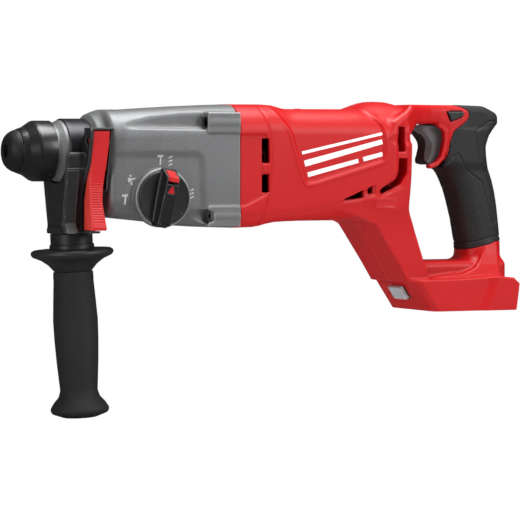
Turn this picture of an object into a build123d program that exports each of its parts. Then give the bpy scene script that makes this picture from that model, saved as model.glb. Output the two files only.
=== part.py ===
from build123d import *
import os
from math import sin, cos, tan, radians, pi, acos

os.makedirs("parts", exist_ok=True)

# Rotary hammer, modelled about its tool spindle.
# Origin: mouth of the tool bore.  +X runs back towards the rear handle, +Z is up,
# -Y is the left side, which carries the function dial.  All sizes in millimetres.
# Turned profiles are lists of (x, radius); side profiles are (x, z); end profiles are (y, z).

# ---------------------------------------------------------------- driving sizes
SLIP = 0.05              # radial gap of a sliding or loose fit
PRESS = 0.02             # radial gap of a seated fit

BIT_R = 5.0              # 10 mm tool shank
HOLDER_R = 10.0          # tool holder outside
SLEEVE_R = 21.3          # chuck sleeve outside
BARREL_BORE, BARREL_R = 12.0, 15.0
PISTON_BORE = 9.0
NOSE_BEARING_R = 17.5    # outside of the spindle's front bearing
NECK_R = 21.5            # 43 mm collar for the side handle
NECK_BORE = NOSE_BEARING_R + SLIP
BAND_IN, BAND_OUT = NECK_R + SLIP, 22.8

CASE_FRONT, CASE_REAR = 66.2, 163.7
BODY_HW = 36.0           # half width of the body
WALL = 3.0

# Gear train: axis heights follow from the tooth counts
MODULE = 1.0
PRESSURE_ANGLE = radians(20)
TOOTH_THINNING = 0.10    # taken off each tooth for backlash
DEDENDUM = 1.25          # in modules
SPINDLE_TEETH, COUNTER_TEETH = 38, 16
FIRST_STAGE_TEETH, MOTOR_TEETH = 36, 8
SHAFT_Z = -MODULE * (SPINDLE_TEETH + COUNTER_TEETH) / 2             # countershaft axis
MOTOR_Z = SHAFT_Z + MODULE * (FIRST_STAGE_TEETH + MOTOR_TEETH) / 2  # motor axis
SHAFT_R, SHAFT_END_R = 5.0, 4.0
MOTOR_SHAFT_R = 4.0
WOBBLE_X = 128.0

# Bearings: x of the front face, width, outside radius
REAR_SEAT_X, REAR_SEAT_W, REAR_SEAT_R = 105.5, 6, 18.0       # spindle, rear
COUNTER_SEAT_X, COUNTER_SEAT_W, COUNTER_SEAT_R = 84, 6, 9.5  # countershaft, front
PLATE_SEAT_X, PLATE_SEAT_W, PLATE_SEAT_R = 158.2, 6.6, 8.0   # both bearings in the plate
MOTOR_REAR_SEAT_R = 9.0
STATOR_R = 27

DIAL_X, DIAL_Z, DIAL_R = 103.6, -32.7, 19.6
DIAL_REST = radians(11)  # lean of the dial ridge from upright
DIAL_STEM_R = 6.0
PIN_THROW = 3.0          # offset of the selector pin from the dial axis

HANDLE_X, HANDLE_TILT = 46.1, radians(2.9)
GRIP_END = 187.3         # end of the side grip along its own axis
CLAMP_BOLT_R = 4.0
LEVER_Y, LEVER_Z = -28.5, -12.0     # pivot of the depth-stop lever
DEPTH_ROD_Y, DEPTH_ROD_Z = -32.6, 7.1
FOOT_Z = -117.4

# Case screws: y, z
CASE_SCREWS = [(-30.5, 19.7), (30.5, 19.7), (-29.5, -46.0), (29.5, -46.0)]
CASE_HEAD_X = 146        # underside of the case screw heads
# Shell screws: x, z, y of the seat under the head
SHELL_SCREWS = [(178, -47.0, 20), (232, -43.5, 22), (232, 26.0, 14),
                (284, -42, 22), (288, 26, 22), (305, -89, 18),
                (379, 25, 8), (378, -40, 8), (381, -88, 12)]


# ================================================================ helpers
def save(name, part):
    """Label a finished piece and write its STEP file."""
    part.label = name
    export_step(part, f"parts/{name}.step")


def plane_x(x, y, z):
    """Plane facing +X whose local axes are Y and Z."""
    return Plane(origin=(x, y, z), x_dir=(0, 1, 0), z_dir=(1, 0, 0))


def prism(points, plane, depth):
    """Closed polygon drawn on a plane and pulled along its normal."""
    with BuildPart() as body:
        with BuildSketch(plane):
            with BuildLine():
                Polyline(*points, close=True)
            make_face()
        extrude(amount=depth)
    return body.part


def end_plate(points, x, depth):
    """End profile (y, z) pulled back from x."""
    return prism(points, Plane.YZ.offset(x), depth)


def side_plate(points, half):
    """Side profile (x, z) pulled out to both sides of the centre plane."""
    with BuildPart() as plate:
        with BuildSketch(Plane.XZ):
            with BuildLine():
                Polyline(*points, close=True)
            make_face()
        extrude(amount=half, both=True)
    return plate.part


def top_plate(points, low, high):
    """Plan profile (x, half width) mirrored over the centre plane, from z low to high."""
    outline = list(points) + [(x, -y) for x, y in reversed(points)]
    return prism(outline, Plane.XY.offset(low), high - low)


def rod(radius, plane, length):
    with BuildPart() as cylinder:
        with BuildSketch(plane):
            Circle(radius)
        extrude(amount=length)
    return cylinder.part


def rod_x(radius, x_from, x_to, y=0.0, z=0.0):
    """Plain cylinder along X."""
    return rod(radius, plane_x(x_from, y, z), x_to - x_from)


def rod_y(radius, y_from, y_to, x=0.0, z=0.0):
    """Plain cylinder along Y."""
    plane = Plane(origin=(x, y_from, z), x_dir=(1, 0, 0), z_dir=(0, 1, 0))
    return rod(radius, plane, y_to - y_from)


def rod_z(radius, z_from, z_to, x):
    """Plain cylinder along Z on the centre plane."""
    return rod(radius, Plane(origin=(x, 0, z_from)), z_to - z_from)


def tube_x(outer, inner, x, length, z=0.0):
    """Plain tube along X."""
    with BuildPart() as tube:
        with BuildSketch(plane_x(x, 0, z)):
            Circle(outer)
            Circle(inner, mode=Mode.SUBTRACT)
        extrude(amount=length)
    return tube.part


def block(x_min, x_max, y_min, y_max, z_min, z_max):
    with BuildPart() as box:
        with BuildSketch(Plane.XY.offset(z_min)):
            with Locations(((x_min + x_max) / 2, (y_min + y_max) / 2)):
                Rectangle(x_max - x_min, y_max - y_min)
        extrude(amount=z_max - z_min)
    return box.part


def hex_prism(plane, radius, depth, rotation=0):
    with BuildPart() as prism_body:
        with BuildSketch(plane):
            RegularPolygon(radius, 6, rotation=rotation)
        extrude(amount=depth)
    return prism_body.part


def turned(profile, z=0.0):
    """Profile (x, radius) turned about the line along X at height z."""
    with BuildPart() as body:
        with BuildSketch(Plane.XZ):
            with BuildLine():
                Polyline(*[(x, z + radius) for x, radius in profile], close=True)
            make_face()
        revolve(axis=Axis((0, 0, z), (1, 0, 0)))
    return body.part


def torus_x(wire_radius, x, ring_radius, z=0.0):
    """Ring of round section about the line along X at height z."""
    with BuildPart() as ring:
        with BuildSketch(Plane.XZ):
            with Locations((x, z + ring_radius)):
                Circle(wire_radius)
        revolve(axis=Axis((0, 0, z), (1, 0, 0)))
    return ring.part


def coil_spring(pitch, height, radius, center, direction, wire_radius):
    with BuildPart() as spring:
        with BuildLine() as coil:
            Helix(pitch=pitch, height=height, radius=radius, center=center, direction=direction)
        with BuildSketch(Plane(origin=coil.line @ 0, z_dir=coil.line % 0)):
            Circle(wire_radius)
        sweep(path=coil.line, is_frenet=True)
    return spring.part


def fused(*shapes):
    with BuildPart() as body:
        for shape in shapes:
            add(shape)
    return body.part


def trimmed(shape, limit):
    """The part of a shape that lies inside the limit."""
    with BuildPart() as body:
        add(shape)
        add(limit, mode=Mode.INTERSECT)
    return body.part


def half_of(shape, keep):
    """One side of the centre plane; Keep.TOP is the -Y side."""
    with BuildPart() as half:
        add(shape)
        split(bisect_by=Plane.XZ, keep=keep)
    return half.part


def lofted(sections):
    with BuildPart() as body:
        loft(sections, ruled=True)
    return body.part


def body_section(x, half_width, top, bottom, top_corner, bottom_corner):
    """Rounded body section in the YZ plane at x."""
    with BuildSketch(Plane.YZ.offset(x)) as section:
        with BuildLine():
            Polyline((-half_width, bottom), (half_width, bottom),
                     (half_width, top), (-half_width, top), close=True)
        make_face()
        fillet(section.vertices().group_by(Axis.Y)[-1], top_corner)
        fillet(section.vertices().group_by(Axis.Y)[0], bottom_corner)
    return section.sketch


def inset_stations(stations, inset):
    """Body stations drawn in all round, x unchanged."""
    return [(x, half_width - inset, top - inset, bottom + inset,
             top_corner - inset, bottom_corner - inset)
            for x, half_width, top, bottom, top_corner, bottom_corner in stations]


def grip_section(z, x_front, x_rear, half_width, corner):
    """Rounded grip section in the horizontal plane at z."""
    with BuildSketch(Plane.XY.offset(z)) as section:
        with BuildLine():
            Polyline((x_front, -half_width), (x_rear, -half_width),
                     (x_rear, half_width), (x_front, half_width), close=True)
        make_face()
        fillet(section.vertices(), corner)
    return section.sketch


def gear_outline(teeth, shift, phase, z, addendum):
    """Involute spur gear outline (y, z) about (0, z); phase turns a tooth centre from +Z."""
    flank_steps = 5
    pitch_r = MODULE * teeth / 2
    base_r = pitch_r * cos(PRESSURE_ANGLE)
    tip_r = pitch_r + MODULE * (addendum + shift)
    root_r = pitch_r - MODULE * (DEDENDUM - shift)

    def involute(angle):
        return tan(angle) - angle

    half_tooth = ((pi / 2 + 2 * shift * tan(PRESSURE_ANGLE)) * MODULE / (2 * pitch_r)
                  - TOOTH_THINNING / pitch_r)
    base_angle = half_tooth + involute(PRESSURE_ANGLE)
    flank = []           # (radius, angle from the tooth centre), root to tip
    start_r = max(root_r, base_r)
    if root_r < base_r:
        flank.append((root_r, base_angle))
    for i in range(flank_steps + 1):
        radius = start_r + (tip_r - start_r) * i / flank_steps
        roll = acos(min(1.0, base_r / radius))
        flank.append((radius, base_angle - involute(roll)))
    points = []
    for tooth in range(teeth):
        centre = phase + 2 * pi * tooth / teeth
        for radius, angle in flank:
            points.append((radius * sin(centre - angle), z + radius * cos(centre - angle)))
        for radius, angle in reversed(flank):
            points.append((radius * sin(centre + angle), z + radius * cos(centre + angle)))
    return points


def gear(teeth, x, width, z, phase, shift=0.0, addendum=0.95, bore=None):
    """Spur gear along X; addendum and profile shift are in modules."""
    with BuildPart() as wheel:
        with BuildSketch(Plane.YZ.offset(x)):
            with BuildLine():
                Polyline(*gear_outline(teeth, shift, phase, z, addendum), close=True)
            make_face()
            if bore:
                with Locations((0, z)):
                    Circle(bore, mode=Mode.SUBTRACT)
        extrude(amount=width)
    return wheel.part


def circle_points(x, radius, z, count):
    """Evenly spaced centres on a circle facing X, the first one at the top."""
    return [(x, radius * sin(2 * pi * i / count), z + radius * cos(2 * pi * i / count))
            for i in range(count)]


def ball_bearing(x, width, inner_r, outer_r, z):
    """Inner ring, outer ring and balls as separate solids."""
    ring_wall = (outer_r - inner_r) * 0.3
    middle_r = (inner_r + outer_r) / 2
    ball_r = (outer_r - inner_r) * 0.19
    count = int(2 * pi * middle_r / (2 * ball_r) * 0.8)
    with BuildPart() as bearing:
        add(tube_x(inner_r + ring_wall, inner_r, x, width, z))
        add(tube_x(outer_r, outer_r - ring_wall, x, width, z))
        with Locations(*circle_points(x + width / 2, middle_r, z, count)):
            Sphere(ball_r)
    return bearing.part


# ================================================================ tool spindle
HOLDER_FIT = HOLDER_R + SLIP
LOCK_BALL_X, LOCK_BALL_Y, LOCK_BALL_R = 17, 8.62, 3.5

save("dust_cap", turned([
    (0, BIT_R), (0, 9.2), (0.8, 10.8), (2.5, 12.6), (5, 14.0), (8.4, 15.4),
    (8.4, HOLDER_FIT), (2.95, HOLDER_FIT), (2.95, BIT_R)]))

with BuildPart() as tool_holder:
    add(turned([(3, BIT_R), (3, HOLDER_R), (51, HOLDER_R), (51, BARREL_BORE - SLIP),
                (62, BARREL_BORE - SLIP), (62, 7), (42, 7), (42, BIT_R)]))
    # cross hole for the locking balls
    add(rod_y(LOCK_BALL_R + 0.1, -13, 13, LOCK_BALL_X, 0), mode=Mode.SUBTRACT)
save("tool_holder", tool_holder.part)

with BuildPart() as locking_balls:
    with Locations((LOCK_BALL_X, LOCK_BALL_Y, 0), (LOCK_BALL_X, -LOCK_BALL_Y, 0)):
        Sphere(LOCK_BALL_R)
save("locking_balls", locking_balls.part)

save("spring_seat", turned([(31.2, HOLDER_FIT), (31.2, 15.5), (32.6, 15.5),
                            (32.6, HOLDER_FIT)]))

save("chuck_spring", coil_spring(pitch=2.2, height=8.4, radius=11.5, center=(21.5, 0, 0),
                                 direction=(1, 0, 0), wire_radius=0.8))

save("chuck_sleeve", turned([
    (8.5, 12.3), (8.5, 15.5), (12.7, 16.8), (18.8, 20.9), (20.2, SLEEVE_R), (32, SLEEVE_R),
    (32, 20.9), (30.8, 20.2), (20.6, 20.2), (20.6, 12.3)]))

save("spindle_barrel", turned([(57.5, BARREL_BORE), (57.5, BARREL_R), (112, BARREL_R),
                               (112, BARREL_BORE)]))

# A tooth gap of the spindle gear faces the countershaft below.
save("spindle_gear", gear(SPINDLE_TEETH, x=95, width=8, z=0.0, phase=pi + pi / SPINDLE_TEETH,
                          bore=BARREL_R + SLIP))

# ================================================================ hammer mechanism
STRIKER_R = PISTON_BORE - SLIP
O_RING_X = 94.1
O_RING_GROOVE = 1.1      # half width of the groove
PISTON_R = BARREL_BORE - SLIP
PISTON_REAR = 119
EAR_R = 6.4              # fork ears at the back of the piston
WRIST_PIN_R = 4.0
BALL_CIRCLE_R = 11.1     # circle through the wobble bearing's ball centres
RING_HALF = 4.6          # half length of the wobble ring

save("impact_bolt", turned([(48, 0), (48, 5.4), (49.5, 6.9), (68.5, 6.9), (70, 5.4), (70, 0)]))

save("striker", turned([
    (84, 0), (84, 6.5), (86, STRIKER_R),
    (O_RING_X - O_RING_GROOVE, STRIKER_R), (O_RING_X - O_RING_GROOVE, 7.0),
    (O_RING_X + O_RING_GROOVE, 7.0), (O_RING_X + O_RING_GROOVE, STRIKER_R),
    (104, STRIKER_R), (104, 0)]))

save("striker_o_ring", torus_x(0.93, O_RING_X, 8.0))

# Hollow piston: cup open to the front, fork ears behind for the wrist pin.
with BuildPart() as piston:
    add(turned([(78, PISTON_BORE), (78, PISTON_R), (PISTON_REAR, PISTON_R), (PISTON_REAR, 0),
                (114, 0), (114, PISTON_BORE)]))
    with BuildSketch(Plane.XZ):
        with Locations((WOBBLE_X, 0)):
            Circle(EAR_R)
        with Locations((WOBBLE_X - 5, 0)):
            Rectangle(10, 2 * EAR_R)
    extrude(amount=9.5, both=True)
    add(block(PISTON_REAR + SLIP, 140, -6.2, 6.2, -12, 12), mode=Mode.SUBTRACT)
    add(rod_y(WRIST_PIN_R + SLIP, -14, 14, WOBBLE_X, 0), mode=Mode.SUBTRACT)
save("piston", piston.part)

with BuildPart() as wrist_pin:
    add(rod_y(WRIST_PIN_R, -9.4, 9.4, WOBBLE_X, 0))
    add(rod_z(2.6, -6, 6, WOBBLE_X), mode=Mode.SUBTRACT)
save("wrist_pin", wrist_pin.part)

# Ring with an upright pin, and the outer raceway cut inside it.
with BuildPart() as wobble_ring:
    add(turned([(WOBBLE_X - RING_HALF, 10.6), (WOBBLE_X - RING_HALF, 14.4),
                (WOBBLE_X + RING_HALF, 14.4), (WOBBLE_X + RING_HALF, 10.6)], SHAFT_Z))
    add(rod_z(2.4, SHAFT_Z + 13, SHAFT_Z + 32, WOBBLE_X))
    add(torus_x(1.66, WOBBLE_X, BALL_CIRCLE_R, SHAFT_Z), mode=Mode.SUBTRACT)
save("wobble_ring", wobble_ring.part)

with BuildPart() as wobble_balls:
    with Locations(*circle_points(WOBBLE_X, BALL_CIRCLE_R, SHAFT_Z, 12)):
        Sphere(1.6)
save("wobble_balls", wobble_balls.part)

HUB_R = 9.4              # round crown of the hub
save("wobble_hub", turned(
    [(118.8, SHAFT_R + PRESS)]
    + [(WOBBLE_X + HUB_R * cos(radians(angle)), HUB_R * sin(radians(angle)))
       for angle in range(146, 33, -8)]
    + [(138.5, SHAFT_R + PRESS)], SHAFT_Z))

# ================================================================ countershaft
save("intermediate_shaft", fused(
    turned([(83, 0), (83, SHAFT_R), (157.5, SHAFT_R), (157.5, SHAFT_END_R),
            (165, SHAFT_END_R), (165, 0)], SHAFT_Z),
    gear(COUNTER_TEETH, x=93.5, width=10.5, z=SHAFT_Z, phase=0.0)))

# Sleeve with a groove for the shift fork.
save("clutch_sleeve", turned([
    (108, SHAFT_R + SLIP), (108, 8.5), (109.6, 8.5), (109.6, 6.9), (113.4, 6.9),
    (113.4, 8.5), (115, 8.5), (115, SHAFT_R + SLIP)], SHAFT_Z))

# First-stage gear: profile shifted down to suit the small motor pinion.
save("intermediate_gear", gear(FIRST_STAGE_TEETH, x=148, width=7, z=SHAFT_Z,
                               phase=pi / FIRST_STAGE_TEETH, shift=-0.5,
                               bore=SHAFT_R + PRESS))

# ================================================================ motor
save("motor_shaft", fused(
    rod_x(MOTOR_SHAFT_R, 157.4, 258, 0, MOTOR_Z),
    gear(MOTOR_TEETH, x=146, width=11.5, z=MOTOR_Z, phase=pi, shift=0.5, addendum=0.75)))

save("rotor_core", tube_x(14.6, MOTOR_SHAFT_R + PRESS, 186, 38, MOTOR_Z))

# Fan: back disc, hub and straight blades.
FAN_BLADE_X, FAN_BLADE_W = 234.9, 8
with BuildPart() as motor_fan:
    add(tube_x(25.5, MOTOR_SHAFT_R + PRESS, 233, 2, MOTOR_Z))
    add(tube_x(9, MOTOR_SHAFT_R + PRESS, FAN_BLADE_X, FAN_BLADE_W, MOTOR_Z))
    with BuildSketch(Plane.YZ.offset(FAN_BLADE_X)):
        with Locations((0, MOTOR_Z)):
            with PolarLocations(16.5, 11):
                Rectangle(16.5, 1.6)
    extrude(amount=FAN_BLADE_W)
save("motor_fan", motor_fan.part)

# Stator: outer ring with six poles, each a stem and a broad shoe.
POLES = 6
with BuildPart() as motor_stator:
    with BuildSketch(Plane.YZ.offset(187)):
        with Locations((0, MOTOR_Z)):
            Circle(STATOR_R)
            Circle(24.2, mode=Mode.SUBTRACT)
            with PolarLocations(19.9, POLES):
                Rectangle(9.2, 4.4)
            with PolarLocations(16.2, POLES):
                Rectangle(2.2, 11)
            Circle(15.1, mode=Mode.SUBTRACT)
    extrude(amount=36)
save("motor_stator", motor_stator.part)

# Windings: two bars beside each pole stem, bridged at both ends.
COIL_CENTRE_R, COIL_DEPTH, COIL_SPAN = 20.7, 5.4, 10.4
COIL_X, COIL_LENGTH, COIL_END = 183, 44, 3
with BuildPart() as motor_windings:
    with BuildSketch(Plane.YZ.offset(COIL_X)):
        with Locations((0, MOTOR_Z)):
            with PolarLocations(COIL_CENTRE_R, POLES):
                Rectangle(COIL_DEPTH, COIL_SPAN)
                Rectangle(COIL_DEPTH, 4.7, mode=Mode.SUBTRACT)
    extrude(amount=COIL_LENGTH)
    for end_x in (COIL_X, COIL_X + COIL_LENGTH - COIL_END):
        with BuildSketch(Plane.YZ.offset(end_x)):
            with Locations((0, MOTOR_Z)):
                with PolarLocations(COIL_CENTRE_R, POLES):
                    Rectangle(COIL_DEPTH, COIL_SPAN)
        extrude(amount=COIL_END)
save("motor_windings", motor_windings.part)

# ================================================================ bearings and seal
save("motor_bearings", fused(
    ball_bearing(PLATE_SEAT_X, PLATE_SEAT_W, MOTOR_SHAFT_R + SLIP, PLATE_SEAT_R, MOTOR_Z),
    ball_bearing(250, 7, MOTOR_SHAFT_R + SLIP, MOTOR_REAR_SEAT_R, MOTOR_Z)))

save("countershaft_bearings", fused(
    ball_bearing(COUNTER_SEAT_X, COUNTER_SEAT_W, SHAFT_R + SLIP, COUNTER_SEAT_R, SHAFT_Z),
    ball_bearing(PLATE_SEAT_X, PLATE_SEAT_W, SHAFT_END_R + SLIP, PLATE_SEAT_R, SHAFT_Z)))

save("spindle_bearing", fused(ball_bearing(40, 10, HOLDER_FIT, NOSE_BEARING_R, 0)))

save("spindle_rear_bearing", tube_x(REAR_SEAT_R, BARREL_R + SLIP, REAR_SEAT_X, REAR_SEAT_W))

save("neck_seal", turned([(34, 10.08), (34, 12), (36, 17.5), (39.5, 17.5), (39.5, 10.8),
                          (35, 10.3)]))

# ================================================================ gear case
# Stations: x, half width, top, bottom, top corner radius, bottom corner radius
CASE_STATIONS = [
    (CASE_FRONT, 27.5, 28.0, -43.5, 18, 14),
    (69.5, 31.0, 28.5, -46.6, 19, 14),
    (104, 33.3, 30.8, -49.9, 20, 14),
    (CASE_REAR, BODY_HW, 33.4, -54.6, 21, 14),
]
# Collar and the flare that joins it to the case: x, radius
NOSE = [(30, NECK_BORE), (30, 19.2), (34, 19.2), (38.4, NECK_R), (57.6, NECK_R), (57.6, 22.8),
        (60.4, 26), (64.9, 27.8), (66.3, 28.0), (72, 26.0), (72, NECK_BORE)]
REAR_SEAT_END = REAR_SEAT_X + REAR_SEAT_W
COUNTER_SEAT_END = COUNTER_SEAT_X + COUNTER_SEAT_W


def case_block(inset):
    """Gear case solid; an inset one starts at the second station and overruns the rear."""
    stations = inset_stations(CASE_STATIONS, inset)
    if inset:
        stations = stations[1:]
        stations[-1] = (CASE_REAR + 1,) + stations[-1][1:]
    return lofted([body_section(*station) for station in stations])


with BuildPart() as gear_case:
    add(case_block(0))
    add(turned(NOSE))
    # raised round pad under the function dial
    add(rod_y(21.4, -37.2, -28.6, DIAL_X, DIAL_Z))
    # screw bosses at the four rear corners
    for y, z in CASE_SCREWS:
        add(rod_x(6.2, 140, CASE_REAR, y, z))
    add(case_block(WALL), mode=Mode.SUBTRACT)
    add(rod_x(NECK_BORE, 29, 74), mode=Mode.SUBTRACT)
    # bosses stand inside the wall as well
    for y, z in CASE_SCREWS:
        add(rod_x(5.6, CASE_HEAD_X, CASE_REAR, y, z))
    # seat for the spindle's rear bearing, on arms to both sides and the top
    add(tube_x(21, REAR_SEAT_R + PRESS, REAR_SEAT_X, REAR_SEAT_W))
    add(block(REAR_SEAT_X, REAR_SEAT_END, 20.4, 32.0, -3, 3))
    add(block(REAR_SEAT_X, REAR_SEAT_END, -32.0, -20.4, -3, 3))
    add(block(REAR_SEAT_X, REAR_SEAT_END, -3, 3, 20.4, 29.0))
    # seat for the countershaft's front bearing, on a post from the floor
    add(rod_x(12, COUNTER_SEAT_X, COUNTER_SEAT_END, 0, SHAFT_Z))
    add(block(COUNTER_SEAT_X, COUNTER_SEAT_END, -5, 5, -47.0, SHAFT_Z - 8))
    add(rod_x(COUNTER_SEAT_R + PRESS, COUNTER_SEAT_X - 0.5, COUNTER_SEAT_END + 0.5, 0, SHAFT_Z),
        mode=Mode.SUBTRACT)
    # room for the clutch sleeve, dial stem hole, case screw holes and head recesses
    add(rod_x(8.95, 104, 118, 0, SHAFT_Z), mode=Mode.SUBTRACT)
    add(rod_y(DIAL_STEM_R + 0.06, -40, -24, DIAL_X, DIAL_Z), mode=Mode.SUBTRACT)
    for y, z in CASE_SCREWS:
        add(rod_x(2.3, 138, CASE_REAR + 1, y, z), mode=Mode.SUBTRACT)
        add(rod_x(4.7, 138, CASE_HEAD_X, y, z), mode=Mode.SUBTRACT)
save("gear_case", gear_case.part)

with BuildPart() as gear_case_screws:
    for y, z in CASE_SCREWS:
        add(rod_x(4.4, CASE_HEAD_X - 4, CASE_HEAD_X, y, z))
        add(rod_x(2.2, CASE_HEAD_X - 0.1, 176, y, z))
        add(hex_prism(plane_x(CASE_HEAD_X - 4.1, y, z), 2.2, 2), mode=Mode.SUBTRACT)
save("gear_case_screws", gear_case_screws.part)

# Plate that carries the front motor bearing and the rear countershaft bearing.
PLATE_HW, PLATE_BOTTOM, PLATE_TOP = 32.6, -51, 29.9
with BuildPart() as bearing_plate:
    with BuildSketch(Plane.YZ.offset(158)) as plate_outline:
        with BuildLine():
            Polyline((-PLATE_HW, PLATE_BOTTOM), (PLATE_HW, PLATE_BOTTOM),
                     (PLATE_HW, PLATE_TOP), (-PLATE_HW, PLATE_TOP), close=True)
        make_face()
        fillet(plate_outline.vertices(), 13)
        with Locations((0, MOTOR_Z)):
            Circle(PLATE_SEAT_R + PRESS, mode=Mode.SUBTRACT)
        with Locations((0, SHAFT_Z)):
            Circle(PLATE_SEAT_R + PRESS, mode=Mode.SUBTRACT)
    extrude(amount=5.6)
    for y, z in CASE_SCREWS:
        add(rod_x(7.0, 150, 170, y, z), mode=Mode.SUBTRACT)
    add(case_block(WALL + 0.3), mode=Mode.INTERSECT)
save("bearing_plate", bearing_plate.part)

# ================================================================ rear housing
# Side profiles (x, z) come in pairs: outside skin, and the inside face one WALL further in.
LEG = [(240, -45), (262, -50.0), (268.7, -49.6), (275.2, -54.3), (291.6, -80.6),
       (299.8, -94.8), (322, -96), (317, -80.5), (305, -44.5), (304, -30), (240, -30)]
LEG_IN = [(240, -42), (262, -46.6), (270.2, -46.0), (278.2, -53.6), (294.8, -79.6),
          (304.5, -95), (318.8, -95), (314.2, -81.5), (302, -44.9), (301, -27), (240, -27)]
ARM = [(285, 13), (303.5, 13.2), (309.5, 18), (330, 18.6), (334, 13), (336, -12), (381, -12),
       (381, 8.3), (385.3, 15.7), (389.4, 21), (389.4, 24), (385.2, 29.2), (375, 33.6),
       (351.2, 34.2), (302.6, 34.6), (292.7, 35.8), (285, 35.6)]
ARM_IN = [(280, 16), (302, 16.4), (308.5, 21.2), (332.8, 21.4), (337, 13), (339.3, -12),
          (378, -12), (378, 9.3), (382.9, 16.9), (386, 21.5), (383.2, 26.9), (373.6, 30.6),
          (351.2, 31.2), (302.6, 31.6), (292.7, 32.8), (280, 31.6)]
# ARM has one more corner than ARM_IN; pairing stops at the shorter list.
FOOT = [(299.8, -94.3), (305.3, -96.3), (319.7, FOOT_Z), (387.4, FOOT_Z), (389.5, -97.5),
        (374.7, -94.3)]
FOOT_IN = [(303.0, -92), (309.4, -97.4), (321.4, FOOT_Z + WALL), (384.6, FOOT_Z + WALL),
           (386.4, -98.5), (374.7, -92)]
DECK = [(295, -97), (297, -85.2), (317, -80.5), (350, -80.5), (356.5, -76), (356.5, -70),
        (393.4, -70), (393.6, -97)]
DECK_IN = [(300, -97), (301, -88), (318, -83.5), (350, -83.5), (359.6, -76), (359.6, -70),
           (390.4, -70), (390.6, -97)]
# Plan profiles: x, half width
ARM_PLAN = [(280, 34), (296, 33.2), (304, 30.5), (312, 26), (322, 20.8), (334, 18), (352, 17),
            (380, 16.6)]
ARM_PLAN_END = (391, 14)
DECK_PLAN = [(290, 30.5), (318, 30.5), (322, 21), (345, 19.5), (394, 18)]
# Barrel stations: x, half width, top, bottom, top corner radius, bottom corner radius
BARREL_STATIONS = [
    (CASE_REAR + 0.1, BODY_HW, 33.4, -54.6, 21, 14),
    (190, BODY_HW, 33.5, -52.4, 21, 14),
    (208, 35.8, 30.6, -50.3, 19, 14),
    (264, 35.4, 30.6, -50.1, 19, 14),
    (278, 34.8, 35.2, -50, 21, 14),
    (292, 34, 35.8, -49.0, 22, 14),
    (304, 31.5, 34.8, -46, 22, 14),
]
# Grip stations: z, front x, rear x, half width, corner radius
GRIP_STATIONS = [
    (-9, 336, 381, 17, 13),
    (-21.5, 343, 385, 17, 14),
    (-44, 350.5, 389, 17, 14),
    (-66, 355.7, 391.5, 17, 14),
    (-88, 357.2, 393, 17.6, 14),
]


def housing_block(inset):
    """Whole rear housing, drawn in all round."""
    share = inset / WALL

    def between(outer, inner):
        return [((1 - share) * a[0] + share * b[0], (1 - share) * a[1] + share * b[1])
                for a, b in zip(outer, inner)]

    def narrowed(plan):
        return [(x, half_width - inset) for x, half_width in plan]

    stations = inset_stations(BARREL_STATIONS, inset)
    if inset:
        stations[0] = (CASE_REAR - 1,) + stations[0][1:]
        stations[-1] = (stations[-1][0] - inset,) + stations[-1][1:]
    end_x, end_half_width = ARM_PLAN_END
    arm_plan = narrowed(ARM_PLAN) + [(end_x - inset, end_half_width - inset)]
    return fused(
        lofted([body_section(*station) for station in stations]),
        trimmed(side_plate(between(ARM, ARM_IN), 40), top_plate(arm_plan, -60, 60)),
        side_plate(between(LEG, LEG_IN), 30.5 - inset),
        trimmed(side_plate(between(DECK, DECK_IN), 31 - inset),
                top_plate(narrowed(DECK_PLAN), -130, 0)),
        side_plate(between(FOOT, FOOT_IN), 36 - inset),
        lofted([grip_section(z, front + inset, rear - inset, half_width - inset, corner - inset)
                for z, front, rear, half_width, corner in GRIP_STATIONS]))


HOUSING = housing_block(0)
SKIN_BED = housing_block(1.4)      # surface the soft grip skin lies on
INNER = housing_block(WALL)

# Side outline of the area the soft skin covers
OVERMOLD_EDGE = [
    (343, 40), (353.1, 32.9), (357.2, 29.5), (358.2, 25.2), (357.3, 22.2), (353.1, 19.2),
    (346, 14.4), (343.6, 8.5), (341.6, -2), (339.6, -8), (336.0, -13.0), (325, -17),
    (325, -72), (352, -72.8), (360, -71.6), (372.9, -68.3), (384.8, -66.6), (400, -66.2),
    (400, 40)]
SELECTOR_SLOT = [(338.8, 29.3), (352.6, 29.3), (352.9, 25.6), (342.4, 21.5)]
LAMP_WINDOW = [(303.0, -103.2), (309.1, -112.1), (316.9, -106.8), (310.7, -97.9)]
FLANKS = [(-60, -20), (20, 60)]    # y spans that cut one side wall each
REAR_VENT_XS = (290.6, 294.4)
LOW_VENTS = [(247, -33.6), (254, -31.5), (261, -29.4), (268, -27.3)]   # x, z of a corner
FRONT_VENT_ZS = (-26, -18, -5.5, 2.5)

with BuildPart() as grip_skin:
    add(HOUSING)
    add(side_plate(OVERMOLD_EDGE, 60), mode=Mode.INTERSECT)
    add(SKIN_BED, mode=Mode.SUBTRACT)
    # trigger opening and direction selector slot
    add(block(310, 350.4, -10.0, 10.0, -11.6, 18.4), mode=Mode.SUBTRACT)
    add(side_plate(SELECTOR_SLOT, 40), mode=Mode.SUBTRACT)

# Battery bay open to the rear and below, with a wider groove along each side.
battery_bay = fused(block(331, 400, -22, 22, -120, -103), block(331, 400, -26, 26, -112, -105))

# Hollow of the housing, less the solid left around the battery bay.
with BuildPart() as inner_space:
    add(INNER)
    add(block(328, 400, -29, 29, -122, -100), mode=Mode.SUBTRACT)

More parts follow.
